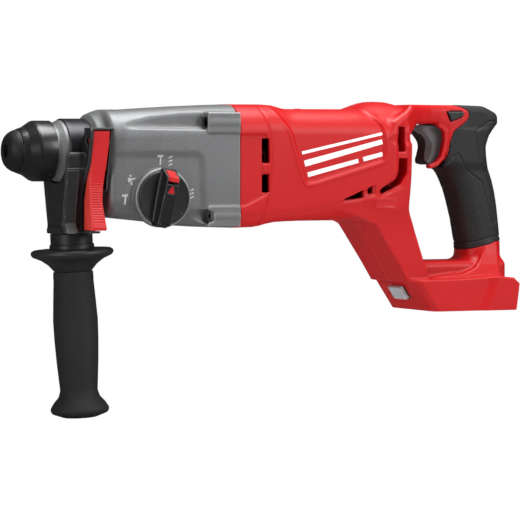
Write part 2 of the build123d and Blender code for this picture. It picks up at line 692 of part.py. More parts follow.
with BuildPart() as shell_bosses:
    for x, z, seat_y in SHELL_SCREWS:
        add(rod_y(4.2, -36, seat_y, x, z))
        add(rod_y(5.2, seat_y - 4, 36, x, z))
    for y, z in CASE_SCREWS:
        add(rod_x(5.2, CASE_REAR + 0.1, 180, y, z))
    # ribs that hold the motor can and its rear bearing
    add(block(196, 199, -33, 33, -50, 29))
    add(block(214, 217, -33, 33, -50, 29))
    add(block(251, 256, -33, 33, -48, 28))
    add(rod_x(STATOR_R + SLIP, 180, 230, 0, MOTOR_Z), mode=Mode.SUBTRACT)
    add(rod_x(MOTOR_REAR_SEAT_R + PRESS, 249, 260, 0, MOTOR_Z), mode=Mode.SUBTRACT)
    # passage through the ribs below the motor
    add(block(180, 262, -10, 10, -44, -35), mode=Mode.SUBTRACT)
    add(HOUSING, mode=Mode.INTERSECT)

with BuildPart() as housing_shell:
    add(HOUSING)
    add(inner_space.part, mode=Mode.SUBTRACT)
    add(shell_bosses.part)
    add(grip_skin.part, mode=Mode.SUBTRACT)
    # upright vents through both flanks, near the back of the barrel
    for x in REAR_VENT_XS:
        add(block(x, x + 2.2, -60, 60, -14, 0.5), mode=Mode.SUBTRACT)
        add(block(x, x + 2.2, -60, 60, 3.5, 17), mode=Mode.SUBTRACT)
    # rising row of small vents
    for x, z in LOW_VENTS:
        for y_min, y_max in FLANKS:
            add(block(x, x + 4.5, y_min, y_max, z, z + 3.6), mode=Mode.SUBTRACT)
    # side vents near the front edge
    for z in FRONT_VENT_ZS:
        for y_min, y_max in FLANKS:
            add(block(181, 186.5, y_min, y_max, z, z + 5), mode=Mode.SUBTRACT)
    # trigger slot and direction selector slot
    add(block(308, 350, -9.9, 9.9, -11.4, 18.2), mode=Mode.SUBTRACT)
    add(side_plate(SELECTOR_SLOT, 40), mode=Mode.SUBTRACT)
    add(side_plate(LAMP_WINDOW, 10), mode=Mode.SUBTRACT)
    add(battery_bay, mode=Mode.SUBTRACT)
    # screw holes and head recesses
    for x, z, seat_y in SHELL_SCREWS:
        add(rod_y(1.65, -min(13, seat_y + 2), seat_y + 1, x, z), mode=Mode.SUBTRACT)
        add(rod_y(3.4, seat_y, 60, x, z), mode=Mode.SUBTRACT)
    for y, z in CASE_SCREWS:
        add(rod_x(2.25, CASE_REAR - 2, 178, y, z), mode=Mode.SUBTRACT)

save("housing_left", half_of(housing_shell.part, Keep.TOP))
save("housing_right", half_of(housing_shell.part, Keep.BOTTOM))

with BuildPart() as housing_screws:
    for x, z, seat_y in SHELL_SCREWS:
        add(rod_y(1.6, -min(12, seat_y + 1), seat_y + 0.1, x, z))
        add(rod_y(3.1, seat_y, seat_y + 2.6, x, z))
        socket_plane = Plane(origin=(x, seat_y + 2.7, z), x_dir=(1, 0, 0), z_dir=(0, -1, 0))
        add(hex_prism(socket_plane, 1.5, 1.4), mode=Mode.SUBTRACT)
save("housing_screws", housing_screws.part)

save("grip_overmold_left", half_of(grip_skin.part, Keep.TOP))

# The right skin is pierced for the heads of the screws in the rear grip.
with BuildPart() as grip_overmold_right:
    add(half_of(grip_skin.part, Keep.BOTTOM))
    for x, z, seat_y in SHELL_SCREWS:
        if x > 370:
            add(rod_y(3.4, seat_y, 60, x, z), mode=Mode.SUBTRACT)
save("grip_overmold_right", grip_overmold_right.part)

# ================================================================ trigger and electrics
PLUNGER_Z = 4            # axis of the trigger plunger and its spring
TRIGGER_OUTLINE = [
    (312.6, 17.4), (314.6, 13.6), (319.6, 8.4), (320.6, 3.5), (319.0, -3.4), (319.6, -7.2),
    (322.4, -9.8), (326, -10.6), (334, -10.2), (338, -8), (340.6, 2), (340.6, 17.4)]
TERMINAL_YS = (-12, -4, 4, 12)

with BuildPart() as trigger_switch:
    add(block(347.2, 370, -10, 10, -8, 14))
    add(rod_x(3.3, 347, 357, 0, PLUNGER_Z), mode=Mode.SUBTRACT)
    fillet(trigger_switch.edges().filter_by(Axis.Y).group_by(Axis.X)[-1], 2)
save("trigger_switch", trigger_switch.part)

with BuildPart() as trigger:
    add(side_plate(TRIGGER_OUTLINE, 9.4))
    add(rod_x(3.0, 340.5, 348.8, 0, PLUNGER_Z))
    # soften the front top corner on both sides
    fillet(trigger.edges().filter_by(Axis.Y, reverse=True).filter_by(GeomType.LINE)
           .group_by(Axis.X)[0], 1.0)
save("trigger", trigger.part)

save("trigger_spring", coil_spring(pitch=1.5, height=5.0, radius=4.3,
                                   center=(341.4, 0, PLUNGER_Z), direction=(1, 0, 0),
                                   wire_radius=0.4))

with BuildPart() as direction_selector:
    with BuildSketch(Plane.XZ) as selector_outline:
        with BuildLine():
            Polyline((339.5, 28.9), (352.2, 28.9), (352.5, 25.9), (342.7, 22.1), close=True)
        make_face()
        fillet(selector_outline.vertices(), 0.8)
    extrude(amount=19.4, both=True)
save("direction_selector", direction_selector.part)

# Sloping board in the leg with a raised layer behind it.
save("control_board", fused(
    side_plate([(284, -50), (298, -76), (301.5, -74.1), (287.5, -48.1)], 22),
    side_plate([(290.2, -52.8), (299.8, -70.6), (302.3, -69.2), (292.7, -51.4)], 16)))

save("led_lens", side_plate(
    [(308.0, -99.9), (314.0, -108.6), (311.6, -110.2), (305.6, -101.4)], 9.8))

with BuildPart() as led_board:
    add(side_plate([(309.6, -98.9), (315.6, -107.6), (314.3, -108.5), (308.3, -99.8)], 9))
    # square lamp chip facing the lens
    with Locations(Plane(origin=(311.4, 0, -104.3), z_dir=(-0.824, 0, -0.567))):
        Box(3, 3, 0.9, align=(Align.CENTER, Align.CENTER, Align.MAX))
save("led_board", led_board.part)

with BuildPart() as terminal_block:
    add(block(336, 360, -17, 17, -110, -103.05))
    for y in TERMINAL_YS:
        add(block(345, 361, y - 0.45, y + 0.45, -111, -103.8), mode=Mode.SUBTRACT)
save("terminal_block", terminal_block.part)

save("terminal_blades", fused(*[block(345.1, 374, y - 0.4, y + 0.4, -110.6, -104)
                                for y in TERMINAL_YS]))

# Three wires from the control board, under the deck and up the grip to the switch.
with BuildPart() as wires:
    for y in (-6.0, 0.0, 6.0):
        with BuildLine() as run:
            Spline((304.8, y, -66.5), (308.8, y, -80), (317.5, y, -88.8), (345, y, -89.5),
                   (363, y * 0.5, -84), (370, y * 0.5, -58), (363, y * 0.6, -9.4))
        with BuildSketch(Plane(origin=run.line @ 0, z_dir=run.line % 0)):
            Circle(1.1)
        sweep(path=run.line)
save("wires", wires.part)

# ================================================================ function dial
LEAN_X, LEAN_Z = sin(DIAL_REST), cos(DIAL_REST)    # direction of the ridge's upper end
SPRING_OUT = 9.75        # dial spring, measured along the ridge from the dial axis


def dial_plane(y):
    """Plane facing -Y on the dial axis, its local y along the ridge."""
    return Plane(origin=(DIAL_X, y, DIAL_Z), x_dir=(LEAN_Z, 0, -LEAN_X), z_dir=(0, -1, 0))


with BuildPart() as mode_dial:
    add(rod_y(DIAL_R, -39.9, -37.3, DIAL_X, DIAL_Z))
    # finger ridge
    with BuildSketch(dial_plane(-39.8)):
        SlotOverall(38.6, 9.2, rotation=90)
    extrude(amount=10.2)
    fillet(mode_dial.faces().sort_by(Axis.Y)[0].edges(), 1.4)
    # stem and off-centre selector pin
    add(rod_y(DIAL_STEM_R, -37.4, -28.4, DIAL_X, DIAL_Z))
    add(rod_y(1.6, -28.6, -23, DIAL_X, DIAL_Z + PIN_THROW))
    # pocket for the lock button in the upper end of the ridge
    with BuildSketch(dial_plane(-42.6)):
        with Locations((0, 17.5)):
            Rectangle(6.2, 17)
    extrude(amount=8.4, mode=Mode.SUBTRACT)
save("mode_dial", mode_dial.part)

with BuildPart() as dial_lock_button:
    with BuildSketch(dial_plane(-42.7)):
        with Locations((0, 15.4)):
            Rectangle(5.9, 7.8)
    extrude(amount=7.5)
    fillet(dial_lock_button.faces().sort_by(Axis.Y)[0].edges(), 1.2)
save("dial_lock_button", dial_lock_button.part)

save("dial_spring", coil_spring(
    pitch=0.72, height=1.1, radius=1.5,
    center=(DIAL_X + SPRING_OUT * LEAN_X, -46.2, DIAL_Z + SPRING_OUT * LEAN_Z),
    direction=(LEAN_X, 0, LEAN_Z), wire_radius=0.25))

# Fork: slotted plate behind the dial, arm reaching into the clutch sleeve's groove.
FORK_X = (110.1, 112.9)  # front and rear face of the arm
with BuildPart() as shift_fork:
    add(block(96, 114, -27.6, -24.2, -41, -24))
    add(block(DIAL_X - 2.6, DIAL_X + 2.6, -28, -24, -38.5, -26.5), mode=Mode.SUBTRACT)
    add(block(*FORK_X, -24.8, -8.2, -41, -38.2))
    add(block(*FORK_X, -24.8, -11.2, -41, -24))
    add(block(*FORK_X, -24.8, 0, -41, -36.8))
    add(rod_x(7.2, 105, 118, 0, SHAFT_Z), mode=Mode.SUBTRACT)
save("shift_fork", shift_fork.part)

# ================================================================ side handle clamp
# The handle axis starts on the spindle axis and points down, leaning back.
HANDLE_DIR = (sin(HANDLE_TILT), 0, -cos(HANDLE_TILT))
HANDLE_PLANE = Plane(origin=(HANDLE_X, 0, 0), x_dir=HANDLE_DIR, z_dir=(0, 1, 0))
HANDLE_AXIS = Axis((HANDLE_X, 0, 0), HANDLE_DIR)
LEVER_PIN_R = 1.45
LEVER_BAY_X = 50.4       # back face of the lever housing's front panel


def handle_turned(profile):
    """Profile (distance down the handle axis, radius) turned about that axis."""
    with BuildPart() as body:
        with BuildSketch(HANDLE_PLANE):
            with BuildLine():
                Polyline(*profile, close=True)
            make_face()
        revolve(axis=HANDLE_AXIS)
    return body.part


save("clamp_band", tube_x(BAND_OUT, BAND_IN, 40.3, 17.1))

# End profiles (y, z) of the yoke
YOKE_BODY = [(-18.5, -55.8), (15.8, -55.8), (18.5, -40), (23.2, -21), (24.2, -8),
             (-26.0, -0.6), (-26.6, -21), (-23.5, -40), (-20.5, -53)]
LEVER_PANEL = [(-39.9, 14.8), (-38.4, 16.2), (-31.0, 16.2), (-26.5, 13.0), (-14, 2),
               (-14, -56.1), (-15.8, -57.2), (-16.4, -41.1), (-18.3, -27.1), (-25.9, -20.1),
               (-33.5, -9.6), (-39.1, 7.6)]
LEVER_WALLS = [(-39.9, 16.2), (-37.6, 7), (-33.5, -9.6), (-30.2, -20), (-29.6, -36),
               (-32.8, -54), (-32.5, -57.2), (-15.8, -57.2), (-14, -56.1), (-14, 0),
               (-22.0, 10), (-22.0, 16.2)]
LEVER_ROOM = [(-45, 14.7), (-45, -56.0), (-12.4, -56.0), (-12.4, -30), (-18.0, -20),
              (-24.4, -10), (-27.0, 14.7)]
# Side profile (x, z) cut from the back of the lever housing
REAR_SLOPE = [(65.6, -14), (65.0, -22), (62.1, -41.1), (57.8, -58), (70, -58), (70, -14)]

with BuildPart() as clamp_yoke:
    add(end_plate(YOKE_BODY, 38.7, 18.2))
    # round foot that meets the side grip
    add(handle_turned([(53.0, 0), (53.0, 15.6), (54.2, 17.0), (57.2, 17.0), (57.2, 0)]))
    # housing for the depth-stop lever on the left: front panel, then the walls behind it
    add(end_plate(LEVER_PANEL, 48.3, 2.2))
    add(end_plate(LEVER_WALLS, LEVER_BAY_X, 15.1))
    add(end_plate(LEVER_ROOM, LEVER_BAY_X, 13.4), mode=Mode.SUBTRACT)
    # the rear wall slopes away towards the bottom
    add(prism(REAR_SLOPE, Plane.XZ, 60), mode=Mode.SUBTRACT)
    # band seat, clearance to the gear case nose
    add(rod_x(BAND_OUT + SLIP, 38, 57.7, 0, 0), mode=Mode.SUBTRACT)
    add(rod_x(28.9, 57.5, 70, 0, 0), mode=Mode.SUBTRACT)
    # depth rod hole, lever pin hole, bolt passage
    add(hex_prism(plane_x(44, DEPTH_ROD_Y, DEPTH_ROD_Z), 3.8, 24, rotation=30),
        mode=Mode.SUBTRACT)
    add(rod_x(LEVER_PIN_R + SLIP, 44, 67, LEVER_Y, LEVER_Z), mode=Mode.SUBTRACT)
    add(handle_turned([(22, 0), (22, 7.6), (47.0, 7.6), (47.0, 4.3), (60, 4.3), (60, 0)]),
        mode=Mode.SUBTRACT)
save("clamp_yoke", clamp_yoke.part)

save("clamp_bolt", handle_turned([
    (41.5, 0), (41.5, 7.2), (46.9, 7.2), (46.9, CLAMP_BOLT_R), (112, CLAMP_BOLT_R), (112, 0)]))

save("lever_pin", rod_x(LEVER_PIN_R, 48.4, 65.4, LEVER_Y, LEVER_Z))

# Lever: end profile (y, z), and the side profile (x, z) that hollows its back
LEVER_FACE = [(-38.4, 14.2), (-35.6, 1), (-32.4, -15), (-31.8, -24), (-31.6, -35),
              (-35.4, -54), (-34.4, -55.2), (-19.4, -55.2), (-19.4, -34), (-25.4, -18),
              (-26.0, -12), (-27.6, 0), (-28.4, 14.2)]
LEVER_BACK = [(63.4, 16), (63.3, 3), (62.4, -10.7), (60.6, -24.8), (60.2, -35.4),
              (60.9, -43.9), (62.2, -56), (70, -56), (70, 16)]
with BuildPart() as depth_stop_lever:
    add(end_plate(LEVER_FACE, 51, 12.4))
    add(prism(LEVER_BACK, Plane.XZ, 60), mode=Mode.SUBTRACT)
    add(rod_x(LEVER_PIN_R + SLIP, 50, 65, LEVER_Y, LEVER_Z), mode=Mode.SUBTRACT)
    add(rod_x(3.85, 50, 65, DEPTH_ROD_Y, DEPTH_ROD_Z), mode=Mode.SUBTRACT)
save("depth_stop_lever", depth_stop_lever.part)

save("lever_spring", coil_spring(pitch=1.5, height=6.0, radius=2.2, center=(56.5, -18.9, -44),
                                 direction=(0, 1, 0), wire_radius=0.35))

# ================================================================ side grip
# Hard core with collar, flange and nut pocket; soft cover over it.
CORE_BORE = 4.4
save("side_grip_core", handle_turned([
    (57.4, CORE_BORE), (57.4, 14.9), (65.2, 14.9), (65.6, 15.8), (68.4, 15.8), (68.7, 27.5),
    (70.0, 29.0), (72.0, 29.2), (73.6, 28.0), (76, 22.0), (79.5, 17.4), (84.5, 13.0),
    (95, 12.0), (168, 11.4), (178, 14.0), (178, CORE_BORE), (97, CORE_BORE), (97, 7.1),
    (90, 7.1), (90, CORE_BORE)]))

save("side_grip_cover", handle_turned([
    (84.6, 13.05), (84.6, 14.4), (91, 14.1), (105, 15.0), (119, 15.8), (133, 15.5),
    (147, 14.8), (161, 13.8), (168.4, 13.2), (173, 14.6), (177, 18.2), (181.5, 21.0),
    (184.4, 19.8), (GRIP_END, 12.0), (GRIP_END, 0), (178.1, 0), (178.1, 14.05),
    (168.0, 11.45), (95, 12.05)]))

save("grip_nut", handle_turned([
    (90.1, CLAMP_BOLT_R + SLIP), (90.1, 7.05), (96.9, 7.05), (96.9, CLAMP_BOLT_R + SLIP)]))
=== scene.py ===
"""Hammer drill with a rear pistol grip, a mode dial and a clamped side handle.

The spindle runs along x through y = z = 0, with the dust cap at low x and the grip at high x.
+z is up and the side handle hangs below the spindle. The body is split on the plane y = 0.
Shapes are worked out in millimetres and meshed in metres.
"""
import math

import bpy
import bmesh
import numpy as np
import openvdb as vdb
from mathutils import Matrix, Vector


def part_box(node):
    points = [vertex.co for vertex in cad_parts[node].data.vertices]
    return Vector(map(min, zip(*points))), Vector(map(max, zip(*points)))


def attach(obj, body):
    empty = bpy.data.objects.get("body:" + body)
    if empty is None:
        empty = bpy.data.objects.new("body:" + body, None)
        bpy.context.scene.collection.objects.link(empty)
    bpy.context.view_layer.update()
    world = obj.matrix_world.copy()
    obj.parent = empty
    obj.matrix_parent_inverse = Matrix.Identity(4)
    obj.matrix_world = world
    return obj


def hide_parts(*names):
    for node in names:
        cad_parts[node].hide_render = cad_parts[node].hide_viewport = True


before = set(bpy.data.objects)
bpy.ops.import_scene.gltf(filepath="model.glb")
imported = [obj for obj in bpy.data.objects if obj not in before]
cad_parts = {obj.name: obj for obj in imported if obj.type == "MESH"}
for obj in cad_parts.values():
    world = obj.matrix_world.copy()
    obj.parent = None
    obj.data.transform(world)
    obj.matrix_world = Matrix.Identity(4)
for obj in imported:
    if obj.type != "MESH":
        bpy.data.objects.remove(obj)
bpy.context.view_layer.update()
F32 = np.float32

# ---------------------------------------------------------------- distance fields
# A field is a signed distance in millimetres, negative inside the solid.

meet = np.maximum
join = np.minimum


def follow(value, stations):
    """Straight-line lookup in stations: (places, values)."""
    return np.interp(value, *stations).astype(F32)


def cut(body, tool):
    return meet(body, -tool)


def smooth_join(first, other, blend):
    near = np.maximum(blend - np.abs(first - other), 0) / blend
    return np.minimum(first, other) - near * near * blend * 0.25


def smooth_meet(first, other, blend):
    return -smooth_join(-first, -other, blend)


def smooth_cut(body, tool, blend):
    return smooth_meet(body, -tool, blend)


def round_meet(first, other, radius):
    """Intersection with a rounded outer edge."""
    past_first, past_other = np.maximum(first + radius, 0), np.maximum(other + radius, 0)
    corner = np.sqrt(past_first * past_first + past_other * past_other)
    return np.minimum(np.maximum(first, other), -radius) + corner


def round_join(first, other, radius):
    """Union with a rounded inner corner."""
    return -round_meet(-first, -other, radius)


def step(value, start, end):
    """Smooth rise from 0 at start to 1 at end."""
    value = np.clip((value - start) / (end - start), 0, 1)
    return value * value * (3 - 2 * value)


def bell(offset, width):
    return np.exp(-(offset / width) ** 2)


def radial(first, other):
    return np.sqrt(first * first + other * other)


def between(value, low, high):
    return meet(low - value, value - high)


def box(x, y, z, spans, radius=0.0):
    """Box from its (low, high) spans along x, y and z."""
    faces = [np.abs(value - (low + high) / 2) - (high - low) / 2
             for value, (low, high) in zip((x, y, z), spans)]
    if radius:
        return round_meet(round_meet(faces[0], faces[1], radius), faces[2], radius)
    return meet(meet(faces[0], faces[1]), faces[2])


def segment(x, y, start, end):
    """Squared distance to a segment, and on which side of it each place lies."""
    edge_x, edge_y = end[0] - start[0], end[1] - start[1]
    from_x, from_y = x - start[0], y - start[1]
    length_squared = edge_x * edge_x + edge_y * edge_y + 1e-12
    along = np.clip((from_x * edge_x + from_y * edge_y) / length_squared, 0, 1)
    off_x, off_y = from_x - edge_x * along, from_y - edge_y * along
    return off_x * off_x + off_y * off_y, edge_x * from_y > edge_y * from_x


def polygon_exact(x, y, points):
    nearest, inside = np.inf, False
    for i, start in enumerate(points):
        end = points[i - 1]
        squared, left = segment(x, y, start, end)
        above_start, below_end = y >= start[1], y < end[1]
        crossed = (above_start & below_end & left) | (~above_start & ~below_end & ~left)
        nearest = np.minimum(nearest, squared)
        inside = inside ^ crossed
    return (np.where(inside, -1.0, 1.0) * np.sqrt(nearest)).astype(F32)


def polyline_exact(x, y, points):
    nearest = np.inf
    for start, end in zip(points[:-1], points[1:]):
        nearest = np.minimum(nearest, segment(x, y, start, end)[0])
    return np.sqrt(nearest).astype(F32)


tables = {}


def from_table(exact, x, y, points):
    """The exact distance looked up in a fine table, for long lists of places."""
    key = (exact, tuple((float(u), float(v)) for u, v in points))
    if key not in tables:
        corners = np.array(points, float)
        low, high = corners.min(0) - 5.0, corners.max(0) + 5.0
        cell = max(0.12, float((high - low).max()) / 560.0)
        count = np.ceil((high - low) / cell).astype(int) + 2
        grid_x = (low[0] + cell * np.arange(count[0]))[:, None]
        grid_y = (low[1] + cell * np.arange(count[1]))[None, :]
        tables[key] = (low, cell, count, exact(grid_x.astype(F32), grid_y.astype(F32), points))
    low, cell, count, table = tables[key]
    x, y = (x - low[0]) / cell, (y - low[1]) / cell
    in_x, in_y = np.clip(x, 0, count[0] - 1.001), np.clip(y, 0, count[1] - 1.001)
    i, j = in_x.astype(np.int32), in_y.astype(np.int32)
    part_x, part_y = in_x - i, in_y - j
    row = table[i, j] * (1 - part_x) + table[i + 1, j] * part_x
    next_row = table[i, j + 1] * (1 - part_x) + table[i + 1, j + 1] * part_x
    return row * (1 - part_y) + next_row * part_y + np.hypot(x - in_x, y - in_y) * cell


def polygon(x, y, points):
    """Signed distance to a closed polygon."""
    return from_table(polygon_exact, x, y, points) if x.ndim == 1 else polygon_exact(x, y, points)


def polyline(x, y, points):
    """Distance to an open polyline."""
    return (from_table(polyline_exact, x, y, points) if x.ndim == 1
            else polyline_exact(x, y, points))


def prism(x, y, z, points, half_width):
    return meet(polygon(x, z, points), y - half_width)


def rounded(corners):
    """Closed outline with rounded corners, each given as (x, y, radius)."""
    outline = []
    for i, (x, y, radius) in enumerate(corners):
        previous, following = corners[i - 1], corners[(i + 1) % len(corners)]
        back = np.array([previous[0] - x, previous[1] - y], float)
        ahead = np.array([following[0] - x, following[1] - y], float)
        back_length, ahead_length = np.hypot(*back), np.hypot(*ahead)
        back, ahead = back / back_length, ahead / ahead_length
        half = math.acos(float(np.clip(back @ ahead, -1, 1))) / 2
        if radius <= 0 or half > 1.5:
            outline.append((x, y))
            continue
        reach = min(radius / math.tan(half), back_length * 0.48, ahead_length * 0.48)
        radius = reach * math.tan(half)
        middle = back + ahead
        middle /= np.hypot(*middle)
        corner = np.array([x, y])
        centre = corner + middle * (radius / math.sin(half))
        start, end = corner + back * reach, corner + ahead * reach
        start_angle = math.atan2(start[1] - centre[1], start[0] - centre[0])
        end_angle = math.atan2(end[1] - centre[1], end[0] - centre[0])
        sweep = (end_angle - start_angle + math.pi) % (2 * math.pi) - math.pi
        pieces = max(2, int(abs(sweep) / 0.35) + 1)
        for j in range(pieces + 1):
            angle = start_angle + sweep * j / pieces
            outline.append((centre[0] + radius * math.cos(angle),
                            centre[1] + radius * math.sin(angle)))
    return outline


# ---------------------------------------------------------------- mesh makers

SNAP_ROUNDS = 2
LATHE_SEGMENTS = 128


def add_object(name, mesh):
    ob = bpy.data.objects.new(name, mesh)
    bpy.context.scene.collection.objects.link(ob)
    return ob


def mesh_from_bmesh(name, bm):
    mesh = bpy.data.meshes.new(name)
    bm.to_mesh(mesh)
    bm.free()
    return mesh


def field_mesh(name, field, low, high, cell):
    """Mesh of a field's zero surface, with its vertices drawn onto the exact surface."""
    low = np.array(low, float) - 2 * cell
    count = np.ceil((np.array(high, float) + 2 * cell - low) / cell).astype(int) + 1
    x, y, z = (low[i] + cell * np.arange(count[i], dtype=F32) for i in range(3))
    x = x[:, None, None].astype(F32)
    y = y[None, :, None].astype(F32)
    z = z[None, None, :].astype(F32)
    values = np.broadcast_to(field(x, y, z), tuple(count)).astype(F32)
    values = np.clip(values, -3 * cell, 3 * cell)
    grid = vdb.FloatGrid(background=3 * cell)
    grid.copyFromArray(np.ascontiguousarray(values))
    points, quads = grid.convertToQuads(isovalue=0.0)
    del values
    points = points.astype(float) * cell + low

    def probe():
        x, y, z = np.ascontiguousarray(points.T)
        value, near = field(x, y, z), 0.15 * cell
        steps = (field(x + near, y, z), field(x, y + near, z), field(x, y, z + near))
        return value, np.stack([stepped - value for stepped in steps], 1) / near

    value, slope = probe()
    limit = 0.45 * cell
    for _ in range(SNAP_ROUNDS):
        slope_squared = (slope * slope).sum(1) + 1e-6
        shift = -value / slope_squared
        travel = np.abs(shift) * np.sqrt(slope_squared)
        shift = np.where(travel > limit, shift * limit / (travel + 1e-9), shift)
        points = points + slope * shift[:, None]
        value, slope = probe()

    # turn all faces over if they point into the solid
    normals = slope / (np.sqrt((slope * slope).sum(1))[:, None] + 1e-9)
    quads = quads.astype(np.int64)
    corners = [points[quads[:, i]] for i in range(4)]
    facing = np.cross(corners[2] - corners[0], corners[3] - corners[1])
    if (facing * normals[quads[:, 0]]).sum() < 0:
        quads = quads[:, ::-1]

    mesh = bpy.data.meshes.new(name)
    mesh.vertices.add(len(points))
    mesh.vertices.foreach_set("co", (points / 1000.0).astype(F32).ravel())
    mesh.loops.add(len(quads) * 4)
    mesh.loops.foreach_set("vertex_index", quads.astype(np.int32).ravel())
    mesh.polygons.add(len(quads))
    mesh.polygons.foreach_set("loop_start", np.arange(0, len(quads) * 4, 4, dtype=np.int32))
    mesh.polygons.foreach_set("use_smooth", np.ones(len(quads), bool))
    mesh.update(calc_edges=True)
    mesh.validate()
    return add_object(name, mesh)


def lathe(name, profile, origin=(0, 0, 0), axis=(1, 0, 0)):
    """Body of revolution from a closed loop of (distance along the axis, radius).

    The axis must be square to y.
    """
    origin, axis = Vector(origin), Vector(axis).normalized()
    across = Vector((0, 1, 0))
    third = axis.cross(across)
    bm = bmesh.new()
    rings = []
    for along, radius in profile:
        if radius < 1e-6:
            rings.append([bm.verts.new((origin + axis * along) / 1000)])
            continue
        ring = []
        for i in range(LATHE_SEGMENTS):
            angle = 2 * math.pi * i / LATHE_SEGMENTS
            place_on_ring = (origin + axis * along + across * (radius * math.cos(angle))
                             + third * (radius * math.sin(angle)))
            ring.append(bm.verts.new(place_on_ring / 1000))
        rings.append(ring)
    for ring, following in zip(rings, rings[1:] + rings[:1]):
        if len(ring) == 1 and len(following) == 1:
            continue
        for i in range(LATHE_SEGMENTS):
            k = (i + 1) % LATHE_SEGMENTS
            if len(ring) == 1:
                bm.faces.new((ring[0], following[i], following[k]))
            elif len(following) == 1:
                bm.faces.new((ring[i], following[0], ring[k]))
            else:
                bm.faces.new((ring[i], following[i], following[k], ring[k]))
    bmesh.ops.recalc_face_normals(bm, faces=bm.faces)
    mesh = mesh_from_bmesh(name, bm)
    for face in mesh.polygons:
        face.use_smooth = True
    ob = add_object(name, mesh)
    mesh.set_sharp_from_angle(angle=math.radians(38))
    return ob


def marks(name, quads, side, field, proud=0.14, sink=0.25, count=5):
    """Thin closed plates with (x, z) corners, laid on a field's surface.

    side is -1 or +1 for the y side, and count is the number of vertices along each edge.
    """
    bm = bmesh.new()
    for quad in quads:
        corner = np.array(quad, float)
        spread = np.linspace(0, 1, count)
        first, second = np.meshgrid(spread, spread, indexing="ij")
        places = (((1 - first) * (1 - second))[..., None] * corner[0]
                  + (first * (1 - second))[..., None] * corner[1]
                  + (first * second)[..., None] * corner[2]
                  + ((1 - first) * second)[..., None] * corner[3])
        x, z = places[..., 0].ravel(), places[..., 1].ravel()
        # walk in from outside until the surface is reached
        y = np.full(x.shape, side * 55.0)
        for _ in range(60):
            y = y - side * 0.9 * field(x, y, z)
        outer, inner = [
            [bm.verts.new((x[i] / 1000, (y[i] + side * lift) / 1000, z[i] / 1000))
             for i in range(len(x))]
            for lift in (proud, -sink)]
        for i in range(count - 1):
            for j in range(count - 1):
                start = i * count + j
                cell = (start, start + count, start + count + 1, start + 1)
                bm.faces.new([outer[k] for k in cell])
                bm.faces.new([inner[k] for k in reversed(cell)])
        last = count - 1
        rim = [i * count for i in range(count)]
        rim += [last * count + j for j in range(1, count)]
        rim += [i * count + last for i in range(count - 2, -1, -1)]
        rim += list(range(count - 2, 0, -1))
        for i, k in zip(rim, rim[1:] + rim[:1]):
            bm.faces.new((outer[k], outer[i], inner[i], inner[k]))
    bmesh.ops.recalc_face_normals(bm, faces=bm.faces)
    return add_object(name, mesh_from_bmesh(name, bm))


# ---------------------------------------------------------------- gear case
# Stations are (x places, values).

CASE_END = 163.6
DIAL_X, DIAL_Z = 103.6, -32.7
CASE_SCREWS = [(20.0, 7.3), (-46.0, 7.2)]  # z, boss radius
BOSS_FRONT, BOSS_OUT = 138.6, 36.3
CASE_TOP = ([60, 66, 69.5, 78.6, 104, 123.6, 132.8, 148, 164],
            [27.2, 28.0, 28.5, 29.0, 30.6, 31.8, 32.2, 32.9, 33.4])
CASE_BOTTOM = ([60, 66, 69.5, 81.7, 104.4, 123.6, 132.8, 148, 164],
               [-44.5, -46.0, -46.4, -47.4, -49.7, -52.0, -53.5, -54.1, -54.6])
CASE_HALF_WIDTH = ([60, 66, 69.5, 78, 104, 124, 143, 164],
                   [30.4, 31.0, 31.5, 32.6, 34.4, 35.1, 35.3, 35.3])
CONE_RADIUS = ([56, 57.6, 60.4, 64.9, 70, 80], [21.6, 22.8, 25.9, 27.8, 28.4, 28.0])
CHANNEL_Y = ([66, 71, 84, 97, 120, 140], [33.0, 31.2, 28.6, 27.2, 26.8, 27.4])
CHANNEL_Z = ([66, 140], [16.0, 15.0])
# (x, z)
DIAL_FIELD = [(60, 1.0), (128, 1.0), (133, 0.2), (136.5, -3.5), (137.5, -10), (139, -40),
              (137, -60), (60, -60)]
# (x, radius, corner radius)
NECK = rounded([
    (30, 17.0, 0), (30, 19.2, 0.5), (34, 19.2, 0.8), (38.3, 21.5, 0.5), (58.2, 21.5, 0),
    (58.2, 22.9, 0.4), (61, 25.4, 0), (70, 26, 0), (70, 17.0, 0)])


